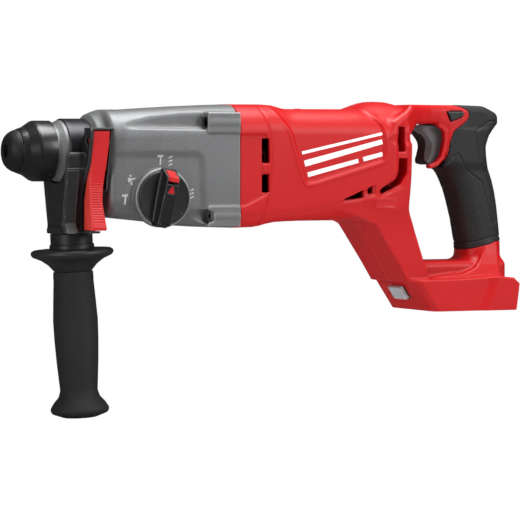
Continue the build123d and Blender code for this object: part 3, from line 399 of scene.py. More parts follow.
def case_body(x, y, z):
    mid = np.abs(y)
    top, bottom = follow(x, CASE_TOP), follow(x, CASE_BOTTOM)
    half_width = follow(x, CASE_HALF_WIDTH)
    # shallow field around the dial, ramped at its edge
    half_width = half_width - 0.9 * step(-polygon(x, z, DIAL_FIELD), 0, 6.5)
    half_width = half_width - 0.5 * ((z + 10.0) / 36.0) ** 2
    crown = 2.2 * (mid / 35.0) ** 2
    wall = mid - half_width
    body = np.where(z > -10, round_meet(wall, z - top + crown, 19.0),
                    round_meet(wall, bottom - z, 13.0)).astype(F32)
    # front end rounded over
    body = round_meet(body, 66.4 - x, 4.5)
    # nose cone around the neck
    cone = meet(radial(y, z) - follow(x, CONE_RADIUS), between(x, 57.8, 78))
    body = smooth_join(body, cone, 3.0)
    # channel that leads to the upper screws
    channel = round_meet(follow(x, CHANNEL_Y) - mid, follow(x, CHANNEL_Z) - z, 3.4)
    channel = round_meet(channel, x - 139.4, 2.6)
    body = smooth_cut(body, channel, 1.3)
    for screw_z, radius in CASE_SCREWS:
        boss = round_meet(radial(mid - 29.6, z - screw_z) - radius, BOSS_FRONT - x, 1.1)
        block = meet(np.abs(z - screw_z) - radius, 24 - mid)
        block = round_meet(block, BOSS_FRONT - x, 1.1)
        boss = join(boss, meet(block, mid - BOSS_OUT))
        boss = round_meet(boss, mid - BOSS_OUT, 1.4)
        body = smooth_join(body, boss, 1.2)
    body = meet(body, bottom - 0.2 - z)
    # scallops in front of the lower screws
    forward = (146 - x) / 18.0
    scallop = radial(mid - (29.6 + 7.5 * forward), z + 46.0) - 5.4
    return smooth_cut(body, meet(scallop, between(x, 122, 143)), 1.0)


def gear_case(x, y, z):
    mid = np.abs(y)
    from_spindle = radial(y, z)
    from_dial = radial(x - DIAL_X, z - DIAL_Z)
    body = case_body(x, y, z)
    case = join(body, polygon(x, from_spindle, NECK))
    case = round_meet(case, x - CASE_END, 0.5)
    # dial seat ring
    seat = meet(round_meet(from_dial - 20.8, -37.2 - y, 0.9), y + 30)
    case = smooth_join(case, seat, 0.8)
    # hollow, neck bore, dial stem hole and screw holes
    case = cut(case, meet(body + 3.2, 69 - x))
    case = cut(case, meet(from_spindle - 17.6, x - 72))
    case = cut(case, meet(from_dial - 6.1, y))
    for screw_z, _ in CASE_SCREWS:
        hole = radial(mid - 29.8, z - screw_z) - 4.5
        case = cut(case, meet(hole, between(x, 137.5, 145.8)))
    return case


# ---------------------------------------------------------------- rear housing
# Outlines are (x, z, corner radius) unless noted.

ARM = rounded([
    (286, 22, 0), (300, 30.0, 2), (304, 33.9, 4), (351.2, 33.9, 4), (372, 33.2, 9),
    (385.2, 27.5, 6), (385.4, 20.5, 3), (377.6, 12.5, 8), (373.5, 3.5, 8), (374.0, -12, 0),
    (338, -12, 0), (340.5, 8, 4), (338.5, 17.2, 3), (331, 20.2, 3), (312, 19.6, 3),
    (303.2, 10, 4), (280, 8, 0)])
LEG = rounded([
    (236, -40, 0), (258, -47.5, 0), (266.2, -50.3, 4), (273.6, -53.4, 5), (291.4, -80.6, 0),
    (300.6, -95.6, 0), (319.6, -95.6, 0), (313.4, -80.5, 0), (299.6, -41.5, 6),
    (300.9, -28, 8), (302.0, 5, 0), (285, 5, 0), (285, -30, 0), (240, -36, 0)])
FLARE = rounded([
    (318.0, -98.5, 0), (321.4, -92.6, 3), (330, -91.4, 8), (349.6, -89.9, 20),
    (360.0, -86.0, 12), (365.6, -80.6, 10), (369.1, -74.4, 10), (372.6, -67.0, 3),
    (382.6, -67.0, 3), (379.5, -98.5, 0)])
FOOT = rounded([
    (299.6, -94.2, 0.5), (305.0, -95.6, 1.5), (319.6, -117.4, 1.6), (387.6, -117.4, 1.2),
    (390.2, -97.6, 0.6), (386.8, -94.9, 0.6), (385.6, -93.4, 0.8), (374, -92.2, 3),
    (340, -93.9, 0)])
PANEL = rounded([
    (186, 42, 0), (190.6, 33.0, 2), (203.4, 13.4, 4), (212.8, -17.2, 2), (215.8, -24.2, 3),
    (224, -23.2, 3), (279.4, -7.6, 5), (281.0, 0.0, 4), (279.4, 18.0, 5), (268.5, 31.0, 5),
    (262, 42, 0)])
COLLAR_RECESS = rounded([
    (150, 12.6, 0), (184.6, 12.6, 1.5), (187.2, 4, 2), (187.2, -26, 2), (184.6, -31.6, 2),
    (168, -39.6, 1.5), (150, -40.4, 0)])
SLOTS = [rounded(corners) for corners in (
    [(290.6, 17.6, 0.5), (296.6, 17.6, 0.5), (296.6, -0.6, 0.5), (290.6, -0.6, 0.5)],
    [(290.9, -5.2, 0.5), (298.2, -5.2, 0.5), (298.0, -15.6, 3), (292.6, -24.4, 3),
     (276.2, -31.4, 0.8), (276.8, -26.6, 1), (288.4, -20.4, 3), (290.6, -15.0, 2)],
    [(244.2, -35.6, 0.4), (262.4, -27.9, 0.5), (262.4, -33.4, 0.8), (258.5, -34.2, 1)],
    [(266.0, -26.6, 0.4), (270.2, -24.8, 0.5), (270.2, -30.2, 0.6), (266.0, -31.4, 0.6)])]
GROOVES = [rounded(corners) for corners in (
    [(288.6, 19.8, 1), (300.2, 19.8, 1), (300.2, -15.0, 5), (294.5, -26.2, 4),
     (276.0, -34.4, 1), (274.0, -28.2, 1), (286.0, -20.6, 3), (288.6, -15.0, 2)],
    [(240.0, -37.8, 0.5), (272.4, -23.6, 1), (272.4, -31.8, 1), (262.6, -35.6, 1),
     (256.0, -36.6, 2)])]
LABEL_FRAME = rounded([(271.4, -35.0, 1), (289.0, -35.0, 1), (289.0, -41.4, 1),
                       (271.4, -41.4, 1)])
OVERMOLD = rounded([
    (343.5, 60, 0), (344.4, 34.6, 0), (352.6, 32.4, 1.5), (357.6, 29.8, 2), (358.6, 24.6, 2),
    (353.6, 20.0, 2), (345.6, 14.6, 2), (343.2, 8.0, 2), (341.4, -2, 2), (338.6, -8.8, 3),
    (332, -12.4, 0), (325, -14.4, 0), (325, -74.4, 0), (349.8, -74.6, 0), (358.6, -73.0, 2),
    (372.9, -69.4, 1.5), (381.6, -66.8, 2), (402, -66.4, 0), (402, 60, 0)])
SELECTOR_HOLE = rounded([(338.6, 29.5, 1.0), (352.9, 29.5, 1.2), (353.2, 25.5, 1.2),
                         (342.2, 21.3, 1.2)])
LAMP_HOLE = [(303.0, -103.2), (309.1, -112.1), (316.9, -106.8), (310.7, -97.9)]  # x, z
# Centre line of the trigger bezel: (x, z)
BEZEL = [(334.4, 18.6), (336.6, 17.8), (339.2, 14.6), (339.6, 8.0), (338.2, 1.0),
         (336.2, -5.0), (332.0, -9.4), (326.5, -11.4)]
# x, z, and y of the head seat
SHELL_SCREWS = [(178, -47.0, 20), (232, -43.5, 22), (232, 26.0, 14), (284, -42, 22),
                (288, 26, 22), (305, -89, 18), (379, 25, 8), (378, -40, 8), (381, -88, 12)]
SCREW_HEAD_RADIUS = 3.4
# Boxes are (low, high) spans in x, y and z.
FOOT_BAY = ((326, 400), (-29, 29), (-122, -99.5))
FOOT_OPENING = ((331, 400), (-22, 22), (-120, -103))
FOOT_RAILS = ((331, 400), (-26, 26), (-112, -105))
TRIGGER_OPENING = ((300, 350.2), (-9.9, 9.9), (-11.2, 19.6))
SKIN_TRIGGER_OPENING = ((300, 350.2), (-10, 10), (-11.4, 19.8))
COLLAR_WINDOWS = [((180.8, 186.6), (20, 60), z_span) for z_span in ((-29.6, -16.6), (-8.4, 9.0))]

# Grip stations run up z.
GRIP_FRONT = ([-96, -88, -80, -73.7, -66.3, -50, -36.4, -28, -21.5, -15, -9, 0, 8, 14],
              [352.5, 354.2, 355.6, 356.2, 355.5, 352.4, 348.6, 345.8, 342.8, 339.2, 337.6,
               338.6, 340.6, 341])
GRIP_REAR = ([-96, -93, -66.7, -63, -44.2, -32, -21.7, -12, -3, 4, 10, 14],
             [392.6, 392.6, 392.2, 391.8, 389.7, 388.0, 385.4, 382.0, 379.4, 378.4, 379.0, 381])
GRIP_HALF_WIDTH = ([-96, -88, -78, -70, -40, -10, 14], [19.0, 18.2, 17.3, 17.0, 17.1, 16.6, 16.6])
GRIP_POWER = 2.5
# Barrel stations run along x.
BARREL_TOP = ([163, 190, 196, 200, 204.5, 208, 212, 262, 266.4, 269.6, 273, 276, 279.6, 285,
               293.6, 298, 304, 320],
              [33.5, 33.6, 33.2, 32.2, 31.0, 30.5, 30.4, 30.5, 31.0, 32.6, 34.2, 35.2, 35.9,
               36.2, 35.9, 35.0, 33.8, 33.6])
BARREL_BOTTOM = ([163, 178, 183, 188, 194.7, 204, 212.9, 262, 304],
                 [-54.6, -54.2, -53.4, -52.0, -50.8, -50.3, -50.1, -50.2, -50.0])
BARREL_HALF_WIDTH = ([163, 187, 200, 264, 285, 304], [35.5, 35.5, 35.0, 34.6, 34.4, 33.6])
BOTTOM_ROUNDING = ([163, 190, 207, 235, 262, 280, 304], [13, 11, 9, 15, 20, 12, 10])
TOP_ROUNDING = ([163, 200, 262, 278, 304], [19, 17.5, 17.5, 20, 20])
BARREL_REAR = ([-54, -43.8, -38, -26, -15, 5, 13], [300, 299.9, 299.9, 301, 301.9, 302, 301])
ARM_HALF_WIDTH = ([280, 292, 300, 306, 312, 318, 325, 334, 345, 360, 378, 392],
                  [34.0, 33.4, 31.2, 28.0, 24.6, 21.8, 19.4, 17.8, 17.0, 16.8, 16.0, 12.5])
DECK_HALF_WIDTH = ([300, 322, 345, 394], [21.5, 20.5, 19.5, 19.0])
# These run up z; BARREL_REAR above does too.
LEG_HALF_WIDTH = ([-96, -60, -45, -20, 5], [30.6, 31.6, 32.6, 33.4, 33.6])
FLARE_HALF_WIDTH = ([-98, -92, -84, -76, -69], [30.5, 27.6, 22.6, 19.2, 17.0])
FOOT_STEP_X = ([-116, -97.2], [356.4, 364.9])


def grip_field(x, y, z):
    """Rear grip: superellipse section between the front and rear outlines."""
    front, rear = follow(z, GRIP_FRONT), follow(z, GRIP_REAR)
    half_width = follow(z, GRIP_HALF_WIDTH)
    centre, half_depth = (front + rear) / 2, (rear - front) / 2 - 2.3
    reach = (np.abs((x - centre) / half_depth) ** GRIP_POWER
             + np.abs(y / half_width) ** GRIP_POWER) ** (1 / GRIP_POWER)
    grip = (reach - 1) * join(half_depth, half_width)
    return meet(grip, meet(z - 14, -96 - z)).astype(F32)


def barrel_half_width(x, z):
    """Half width of the barrel with its collar, recesses and label frame."""
    width = follow(x, BARREL_HALF_WIDTH)
    height = (z + 8.0) / 42.0
    width = width - 0.9 * height * height
    # collar raised in front of a curved edge, with a fine groove at the edge
    edge = 187.8 - 7.0 * ((z + 6.0) / 42.0) ** 2
    width = width + 0.75 * step(edge - x, 0.0, 0.8) - 0.35 * bell(x - edge - 0.3, 0.7)
    width = width - 1.7 * step(-polygon(x, z, COLLAR_RECESS), 0.0, 1.5)
    bridge = step(x - 181.0, 0, 0.6) * step(187.0 - x, 0, 0.6)
    width = width + 1.2 * bridge * step(3.6 - np.abs(z + 12.4), 0, 0.6)
    # sunk side panel with a soft rim
    panel = polygon(x, z, PANEL)
    width = width - 1.35 * step(-panel, 0.0, 2.6) + 0.35 * bell(panel - 0.6, 1.3)
    for groove in GROOVES:
        width = width - 1.5 * step(-polygon(x, z, groove), 0.0, 1.3)
    label = polygon(x, z, LABEL_FRAME)
    return width + 0.45 * np.exp(-((label + 0.3) / 0.45) ** 4)


def housing_outer(x, y, z):
    mid = np.abs(y)
    # barrel, with its raised rear top lowered away from the middle
    top = follow(x, BARREL_TOP)
    crown = 2.0 * (mid / 35.0) ** 2
    wall = mid - barrel_half_width(x, z)
    top = top - (np.clip(top - 30.5, 0, 9) * step(x - 236.0, 0, 4.0)
                 * (1 - np.clip(1 - (mid / 24.0) ** 2, 0, 1)))
    body = np.where(
        z > -8, round_meet(wall, z - top + crown, follow(x, TOP_ROUNDING)),
        round_meet(wall, follow(x, BARREL_BOTTOM) - z, follow(x, BOTTOM_ROUNDING))).astype(F32)
    body = round_meet(body, x - follow(z, BARREL_REAR), 3.0)
    # leg down to the foot
    leg = round_meet(polygon(x, z, LEG), mid - follow(z, LEG_HALF_WIDTH), 1.6)
    body = smooth_join(body, leg, 2.4)
    # arm over the trigger
    arm = round_meet(polygon(x, z, ARM), mid - follow(x, ARM_HALF_WIDTH), 5.0)
    body = smooth_join(body, arm, 3.0)
    # deck under the grip
    deck = meet(meet(-97 - z, 310 - x), round_meet(x - 389.4, z + 80.8, 4.0))
    deck = round_meet(deck, mid - follow(x, DECK_HALF_WIDTH), 5.0)
    body = smooth_join(body, deck, 4.0)
    body = round_join(body, grip_field(x, y, z), 4.5)
    # flare between grip and foot
    flare = round_meet(polygon(x, z, FLARE), mid - follow(z, FLARE_HALF_WIDTH), 1.6)
    body = smooth_join(body, flare, 1.8)
    # foot, wider at the rear, front corners chamfered
    half_width = 34.9 + 2.5 * np.clip((x - follow(z, FOOT_STEP_X)) / 6.9, 0, 1)
    foot = round_meet(polygon(x, z, FOOT), mid - half_width, 0.9)
    front = (305.0 - x) * 0.831 + (-95.6 - z) * 0.556
    foot = smooth_meet(foot, (mid - half_width + front + 3.6) * 0.707, 0.8)
    return round_join(body, foot, 2.2)


def housing_field(x, y, z):
    mid = np.abs(y)
    outer = housing_outer(x, y, z)
    # seat of the grip skin
    housing = cut(outer, meet(polygon(x, z, OVERMOLD) - 0.28, -(outer + 2.2)))
    # hollow, kept solid around the foot bay and between the barrel and the grip
    solid = join(join(x - 288.0, 306.0 - x), z + 35.0)
    hollow = meet(meet(outer + 3.6, -box(x, y, z, FOOT_BAY)), solid)
    housing = cut(housing, hollow)
    for slot in SLOTS:
        housing = cut(housing, meet(polygon(x, z, slot), 20 - mid))
    for window in COLLAR_WINDOWS:
        housing = cut(housing, box(x, mid, z, window, 0.6))
    housing = cut(housing, box(x, mid, z, TRIGGER_OPENING))
    housing = cut(housing, prism(x, mid, z, SELECTOR_HOLE, 60))
    housing = cut(housing, prism(x, mid, z, LAMP_HOLE, 9.9))
    housing = cut(housing, box(x, y, z, FOOT_OPENING, 0.6))
    housing = cut(housing, box(x, y, z, FOOT_RAILS, 0.6))
    # trigger bezel, two points longer on the -y side
    bezel = np.where(y < 0, polyline(x, z, BEZEL), polyline(x, z, BEZEL[:-2]))
    bezel = meet(round_meet(bezel - 1.5, mid - 16.6, 0.8), 11.0 - mid)
    housing = smooth_join(housing, bezel, 1.2)
    return meet(housing, CASE_END + 0.25 - x)


def housing_half(side):
    """Field of the half on the given y side; the +y half carries the screw posts."""
    def field(x, y, z):
        half = housing_field(x, y, z)
        if side > 0:
            for screw_x, screw_z, seat_y in SHELL_SCREWS:
                from_screw = radial(x - screw_x, z - screw_z)
                half = join(half, meet(from_screw - 5.0, between(y, seat_y - 3, seat_y + 4)))
                half = cut(half, meet(from_screw - SCREW_HEAD_RADIUS, seat_y - y))
                half = cut(half, meet(from_screw - 1.7, -y))
        return round_meet(half, -side * y + 0.03, 0.3)
    return field


# ---------------------------------------------------------------- grip skin
# Lines and outlines are (x, z).

GRIP_LINE = [(384, 22.4), (374.8, 22.0), (363.4, 14.3), (367.1, -5.3), (374.0, -10.1),
             (379.5, -22.5), (384, -34)]
TEXTURE_LINE = [
    (326, -14.5), (331.5, -13.2), (338.8, -10.8), (343.3, -4.5), (348.7, -2.1), (356.5, -14.5),
    (369.8, -22.9), (373.5, -35.8), (379.1, -54.4), (381.5, -52.0), (377.5, -34.0)]
LOWER_LINE = [(336, -69.0), (347.7, -68.4), (356, -68.2), (364.2, -67.1), (377.9, -63.4),
              (384.4, -63.2), (400, -63.0)]
TEXTURE = [
    (326, -15.5), (331.5, -14.2), (339.4, -11.6), (343.9, -5.5), (348.4, -3.3), (355.9, -15.5),
    (369.0, -23.7), (372.5, -36), (378.1, -56), (384, -61.5), (377.5, -62.0), (364, -66.0),
    (347.7, -67.4), (330, -68)]
TEXTURE_HEIGHT = 0.2
TEXTURE_PITCH = (2.5, 2.1)


def skin_surface(x, y, z):
    """Outer surface of the skin with its moulded lines and bumps."""
    outer = housing_outer(x, y, z)
    depth = 0.55 * bell(polyline(x, z, GRIP_LINE), 0.55)
    depth = depth + 0.55 * bell(polyline(x, z, TEXTURE_LINE), 0.55)
    depth = depth + 0.6 * bell(polyline(x, z, LOWER_LINE), 0.5)
    textured = step(-polygon(x, z, TEXTURE), 0.6, 1.6)
    tilted_x, tilted_z = x * 0.94 + z * 0.34, -x * 0.34 + z * 0.94
    bump = (TEXTURE_HEIGHT * textured * np.sin(tilted_x * 2 * np.pi / TEXTURE_PITCH[0])
            * np.sin(tilted_z * 2 * np.pi / TEXTURE_PITCH[1]))
    return outer - 0.12 + depth - bump


def skin_half(side):
    def field(x, y, z):
        mid = np.abs(y)
        skin = round_meet(skin_surface(x, y, z), polygon(x, z, OVERMOLD), 0.5)
        skin = cut(skin, housing_outer(x, y, z) + 2.0)
        skin = cut(skin, prism(x, mid, z, SELECTOR_HOLE, 60))
        skin = cut(skin, box(x, mid, z, SKIN_TRIGGER_OPENING))
        if side > 0:
            for screw_x, screw_z, seat_y in SHELL_SCREWS:
                if 370 < screw_x < 380:
                    from_screw = radial(x - screw_x, z - screw_z)
                    skin = cut(skin, meet(from_screw - SCREW_HEAD_RADIUS, seat_y - y))
        return round_meet(skin, -side * y + 0.05, 0.25)
    return field


# ---------------------------------------------------------------- side handle clamp
# Outlines are (y, z, corner radius); stations run up z.

HANDLE_X = 46.1
HANDLE_TILT = math.radians(2.9)
HANDLE_AXIS = (math.sin(HANDLE_TILT), 0.0, -math.cos(HANDLE_TILT))
LEVER_PIVOT_Y, LEVER_PIVOT_Z = -28.5, -12.0
PIVOT_RADIUS = 1.5
ROD_Z = 7.1
YOKE_BOTTOM = -57.0
LEVER_PANEL = rounded([
    (-39.9, 14.6, 0), (-38.9, 16.2, 1.2), (-30.8, 16.2, 3.5), (-25.0, 10.5, 4), (-14, 4, 0),
    (-14, -56.1, 0), (-15.8, -57.2, 0.5), (-16.3, -41.1, 5), (-18.3, -27.1, 6),
    (-25.9, -20.1, 5), (-33.5, -9.6, 8), (-39.1, 7.6, 8)])
LEVER_WALLS = rounded([
    (-39.9, 16.2, 0.6), (-37.8, 6.5, 4), (-33.5, -9.6, 6), (-30.2, -20, 6), (-29.6, -36, 6),
    (-32.9, -53.5, 2), (-32.3, -57.2, 0.8), (-15.8, -57.2, 0), (-14, -56.1, 0), (-14, 0, 0),
    (-22.0, 10, 2), (-22.0, 16.2, 0.6)])
LEVER_ROOM = rounded([
    (-45, 14.7, 0), (-45, -55.6, 0), (-12.4, -55.6, 1), (-12.4, -30, 4), (-18.0, -20, 3),
    (-24.4, -10, 3), (-27.0, 14.7, 1)])
LEVER = rounded([
    (-38.4, 14.2, 1.2), (-37.0, 7.0, 6), (-35.6, 1, 6), (-32.4, -15, 12), (-31.7, -24, 8),
    (-31.7, -36, 8), (-35.5, -53.6, 1.5), (-34.6, -55.2, 1.0), (-19.4, -55.2, 0.8),
    (-19.4, -34, 8), (-25.4, -18, 5), (-26.0, -12, 3), (-27.6, 0, 3), (-28.4, 14.2, 0.6)])
HATCH_AREA = [(-12, -22), (14, -22), (12, -44), (-12, -48)]  # y, z
RIB_OUTER_Y = ([-57, -54.5, -50, -40, -23.5, -4.8, 0],
               [-27.0, -24.6, -21.8, -23.4, -26.6, -29.6, -30.2])
WEDGE_NEAR_Y = ([-57, -41.1, -34, -28, -23, -17, -11, -5, 0],
                [-15.8, -16.5, -17.6, -19.6, -22.6, -26.0, -28.4, -30.2, -32])
WEDGE_FAR_Y = ([-57, -52, -40, -21, -8, 2], [16.6, 15.4, 18.5, 23.2, 24.6, 24.0])
WALL_REAR_X = ([-58, -41.1, -22, -14], [57.8, 62.1, 65.0, 65.5])
LEVER_REAR_X = ([-56, -43.9, -35.4, -24.8, -10.7, 3, 16],
                [62.2, 60.9, 60.2, 60.6, 62.4, 63.3, 63.4])
LEVER_RIB_PITCH = 1.72


def handle_coords(x, y, z):
    """Distance along the tilted handle axis, and distance from it."""
    along = (x - HANDLE_X) * HANDLE_AXIS[0] + z * HANDLE_AXIS[2]
    off_x, off_z = x - HANDLE_X - along * HANDLE_AXIS[0], z - along * HANDLE_AXIS[2]
    return along, np.sqrt(off_x * off_x + y * y + off_z * off_z)


def yoke_wedge(x, y, z):
    """Tapering block under the neck, with a grooved rib at its front on the -y side."""
    rib_outer, near_edge = follow(z, RIB_OUTER_Y), follow(z, WEDGE_NEAR_Y)
    ease = np.clip((x - 41.0) / 7.4, 0, 1)
    near = rib_outer + np.maximum(near_edge - rib_outer, 0) * ease * ease * (3 - 2 * ease)
    wedge = round_meet(near + 0.5 - y, y - follow(z, WEDGE_FAR_Y), 1.2)
    wedge = round_meet(wedge, z + 1.0, 1.5)
    wedge = round_meet(wedge, between(x, 36.9, 56.9), 0.9)
    wedge = meet(wedge, YOKE_BOTTOM - z)
    off_rib = np.abs(y - (rib_outer + 2.6))
    rib = round_meet(off_rib - 2.4, 35.4 - x, 0.8)
    rib = round_meet(rib, z + 0.7, 3.4)
    rib = meet(rib, meet(x - 44, YOKE_BOTTOM - z))
    rib = smooth_cut(rib, meet(off_rib - 0.6, x - 36.2), 0.4)
    return smooth_join(wedge, rib, 0.9)


def clamp_yoke(x, y, z):
    from_spindle = radial(y, z)
    along, from_handle = handle_coords(x, y, z)
    yoke = yoke_wedge(x, y, z)
    boss = round_meet(from_handle - 8.8, between(along, 40.0, 48.0), 0.8)
    yoke = smooth_join(yoke, round_meet(boss, 38.3 - x, 0.8), 0.8)
    yoke = smooth_cut(yoke, from_spindle - 22.9, 0.6)
    # flange above the side grip
    flange = round_meet(from_handle - 17.0, between(along, 53.2, 57.1), 0.9)
    yoke = meet(smooth_join(yoke, flange, 3.0), along - 57.15)
    # lever housing
    panel = round_meet(polygon(y, z, LEVER_PANEL), between(x, 48.3, 50.5), 0.55)
    depth = meet(50.2 - x, (x - follow(z, WALL_REAR_X)) * 0.97)
    walls = round_meet(polygon(y, z, LEVER_WALLS), depth, 0.55)
    yoke = smooth_join(yoke, smooth_join(panel, walls, 0.4), 1.0)
    yoke = cut(yoke, meet(polygon(y, z, LEVER_ROOM), between(x, 50.45, 63.8)))
    # neck bore
    yoke = cut(yoke, from_spindle - 22.86)
    yoke = cut(yoke, meet(from_spindle - 28.9, 57.5 - x))
    # hexagonal depth rod hole and the latch slot under it
    slant, rise = (y + 33.0) * 0.866, (z - ROD_Z) * 0.5
    hexagon = meet(meet(np.abs(z - ROD_Z), np.abs(slant + rise)), np.abs(slant - rise)) - 3.35
    yoke = smooth_cut(yoke, hexagon, 0.35)
    slot = round_meet(np.abs(y + 33.9) - 0.8, np.abs(z - 2.2) - 0.9, 0.3)
    yoke = cut(yoke, meet(slot, x - 50))
    # pivot hole and stepped clamp bolt passage
    yoke = cut(yoke, radial(y - LEVER_PIVOT_Y, z - LEVER_PIVOT_Z) - PIVOT_RADIUS)
    bolt = np.where(along < 41.3, from_handle - 5.2,
                    np.where(along < 47.0, from_handle - 7.6, from_handle - 4.3))
    yoke = cut(yoke, meet(bolt, 20 - along))
    # faint moulded hatch on the front face
    hatched = step(-polygon(y, z, HATCH_AREA), 0, 4) * step(37.8 - x, 0, 0.4)
    stripe = np.abs(((y * 0.8 - z * 0.6) / 5.2) % 1.0 - 0.5) < 0.09
    return yoke + 0.10 * hatched * stripe


def depth_lever(x, y, z):
    rear = follow(z, LEVER_REAR_X)
    lever = round_meet(polygon(y, z, LEVER), between(x, 50.9, rear), 0.8)
    # fine ribs across the lower part
    ribbed = (step(z, -50.5, -49.5) * step(-z, 20.5, 21.5) * step(-y, 25.0, 28.0)
              * step(x, 51.4, 52.0) * step(rear - x, 0.5, 1.1))
    lever = lever + ribbed * (0.22 + 0.24 * np.sin(z * 2 * np.pi / LEVER_RIB_PITCH))
    lever = cut(lever, radial(y - LEVER_PIVOT_Y, z - LEVER_PIVOT_Z) - PIVOT_RADIUS)
    return cut(lever, radial(y + 32.4, z - ROD_Z) - 3.4)


# ---------------------------------------------------------------- mode dial

BUTTON_NORMAL = (-0.507, 0.862)  # y and dial-up parts of the end face normal
DIAL_TURN = math.radians(11)
POINTER = [(-2.6, 3.2), (2.8, 3.2), (0.4, 9.0)]  # dial across, dial up
POINTER_SLOPE = 0.085


def dial_frame(x, y, z):
    """Across and up in the turned dial, and distance past its slanted end face."""
    sine, cosine = math.sin(DIAL_TURN), math.cos(DIAL_TURN)
    from_x, from_z = x - DIAL_X, z - DIAL_Z
    across, up = from_x * cosine - from_z * sine, from_x * sine + from_z * cosine
    return across, up, BUTTON_NORMAL[0] * (y + 41.3) + BUTTON_NORMAL[1] * (up - 19.2)


def mode_dial(x, y, z):
    across, up, end = dial_frame(x, y, z)
    from_axis = radial(across, up)
    dish = 0.8 * np.clip(1 - (from_axis / 19.0) ** 2, 0, 1)
    disc = round_meet(from_axis - 18.9, meet(-39.9 + dish * 0.6 - y, y + 37.3), 0.7)
    # finger ridge across the disc
    half_width = 4.55 + 0.11 * (y + 50)
    crest = -50.2 + (15.0 - up) * 0.085
    ridge = round_meet(np.abs(across) - half_width, crest - y, 0.7)
    ridge = round_meet(ridge, end, 0.5)
    ridge = round_meet(ridge, -20.6 + 0.35 * (-y - 39) * 0.5 - up, 1.4)
    dial = smooth_join(disc, meet(ridge, y + 38), 2.2)
    # pocket of the lock button, then the pointer recess
    pocket = round_meet(np.abs(across) - 3.95, -(end + 4.3), 0.4)
    dial = cut(dial, meet(pocket, meet(y + 42.4, 7.5 - up)))
    floor_depth = y + 48.2 + POINTER_SLOPE * (up - 5)
    dial = cut(dial, meet(polygon(across, up, POINTER) - 0.25, floor_depth))
    stem = meet(from_axis - 6.0, between(y, -38, -28.4))
    pin = meet(radial(x - DIAL_X, z - DIAL_Z - 3.0) - 1.6, between(y, -29, -23))
    return join(join(dial, stem), pin)


def dial_pointer(x, y, z):
    across, up, _ = dial_frame(x, y, z)
    top = -49.5 - POINTER_SLOPE * (up - 5) + 0.12 * np.abs(across)
    depth = meet(top + 0.2 - y, y + 48.0 + POINTER_SLOPE * (up - 5))
    return round_meet(polygon(across, up, POINTER), depth, 0.3)


def lock_button(x, y, z):
    across, up, end = dial_frame(x, y, z)
    button = round_meet(np.abs(across) - 3.85, end - 0.9, 0.9)
    button = round_meet(button, -50.9 - y, 0.6)
    button = cut(button, end + 2.0)
    return round_meet(button, meet(y + 42.6, up - 20.0), 0.4)


# ---------------------------------------------------------------- trigger, selector, lamp

TRIGGER = rounded([
    (311.4, 19.3, 0), (318.6, 14.6, 3), (323.4, 11.6, 4), (326.6, 7.4, 5), (327.2, 2.7, 5),
    (326.0, -2.2, 4), (325.2, -6.4, 2.5), (327.4, -9.4, 2), (331.5, -10.2, 3),
    (336.6, -8.6, 2), (339.6, -2.6, 3), (340.6, 4, 4), (340.6, 19.2, 0)])
# Side faces step inward outside this outline: (x, z)
TRIGGER_SIDE = [(321.0, 20), (323.3, 17.1), (326.0, 13.1), (330.4, 7.5), (331.6, 3.5),
                (330.7, -2.1), (328.1, -6.9), (325.4, -10.4), (324.0, -14), (345, -14), (345, 20)]
TRIGGER_HALF_WIDTH = 9.4
SELECTOR = rounded([(339.4, 29.0, 0.8), (352.3, 29.0, 0.8), (352.6, 25.9, 0.8),
                    (342.7, 22.1, 0.8)])
LAMP_X, LAMP_Z = 308.2, -104.3
LAMP_NORMAL = (-0.8386, -0.5447)  # x, z


def trigger(x, y, z):
    mid = np.abs(y)
    blade = round_meet(polygon(x, z, TRIGGER), mid - TRIGGER_HALF_WIDTH, 0.9)
    inward = 2.6 * np.clip(polygon(x, z, TRIGGER_SIDE) / 3.2, 0, 1.2)
    blade = smooth_meet(blade, mid - TRIGGER_HALF_WIDTH + inward, 0.6)
    rod = meet(radial(y, z - 4) - 3.0, between(x, 338, 348.8))
    return join(blade, rod)


def direction_selector(x, y, z):
    return round_meet(polygon(x, z, SELECTOR), np.abs(y) - 19.2, 0.7)


def lamp_lens(x, y, z):
    outward = (x - LAMP_X) * LAMP_NORMAL[0] + (z - LAMP_Z) * LAMP_NORMAL[1]
    along = -(x - LAMP_X) * LAMP_NORMAL[1] + (z - LAMP_Z) * LAMP_NORMAL[0]
    lens = round_meet(np.abs(outward) - 1.5, np.abs(along) - 5.2, 0.3)
    lens = round_meet(lens, np.abs(y) - 9.7, 0.4)
    return lens + 0.12 * np.cos(y * 2 * np.pi / 1.6) * step(outward, 0.4, 1.0)


# ---------------------------------------------------------------- turned pieces
# Profiles are (distance along the axis, radius, corner radius).

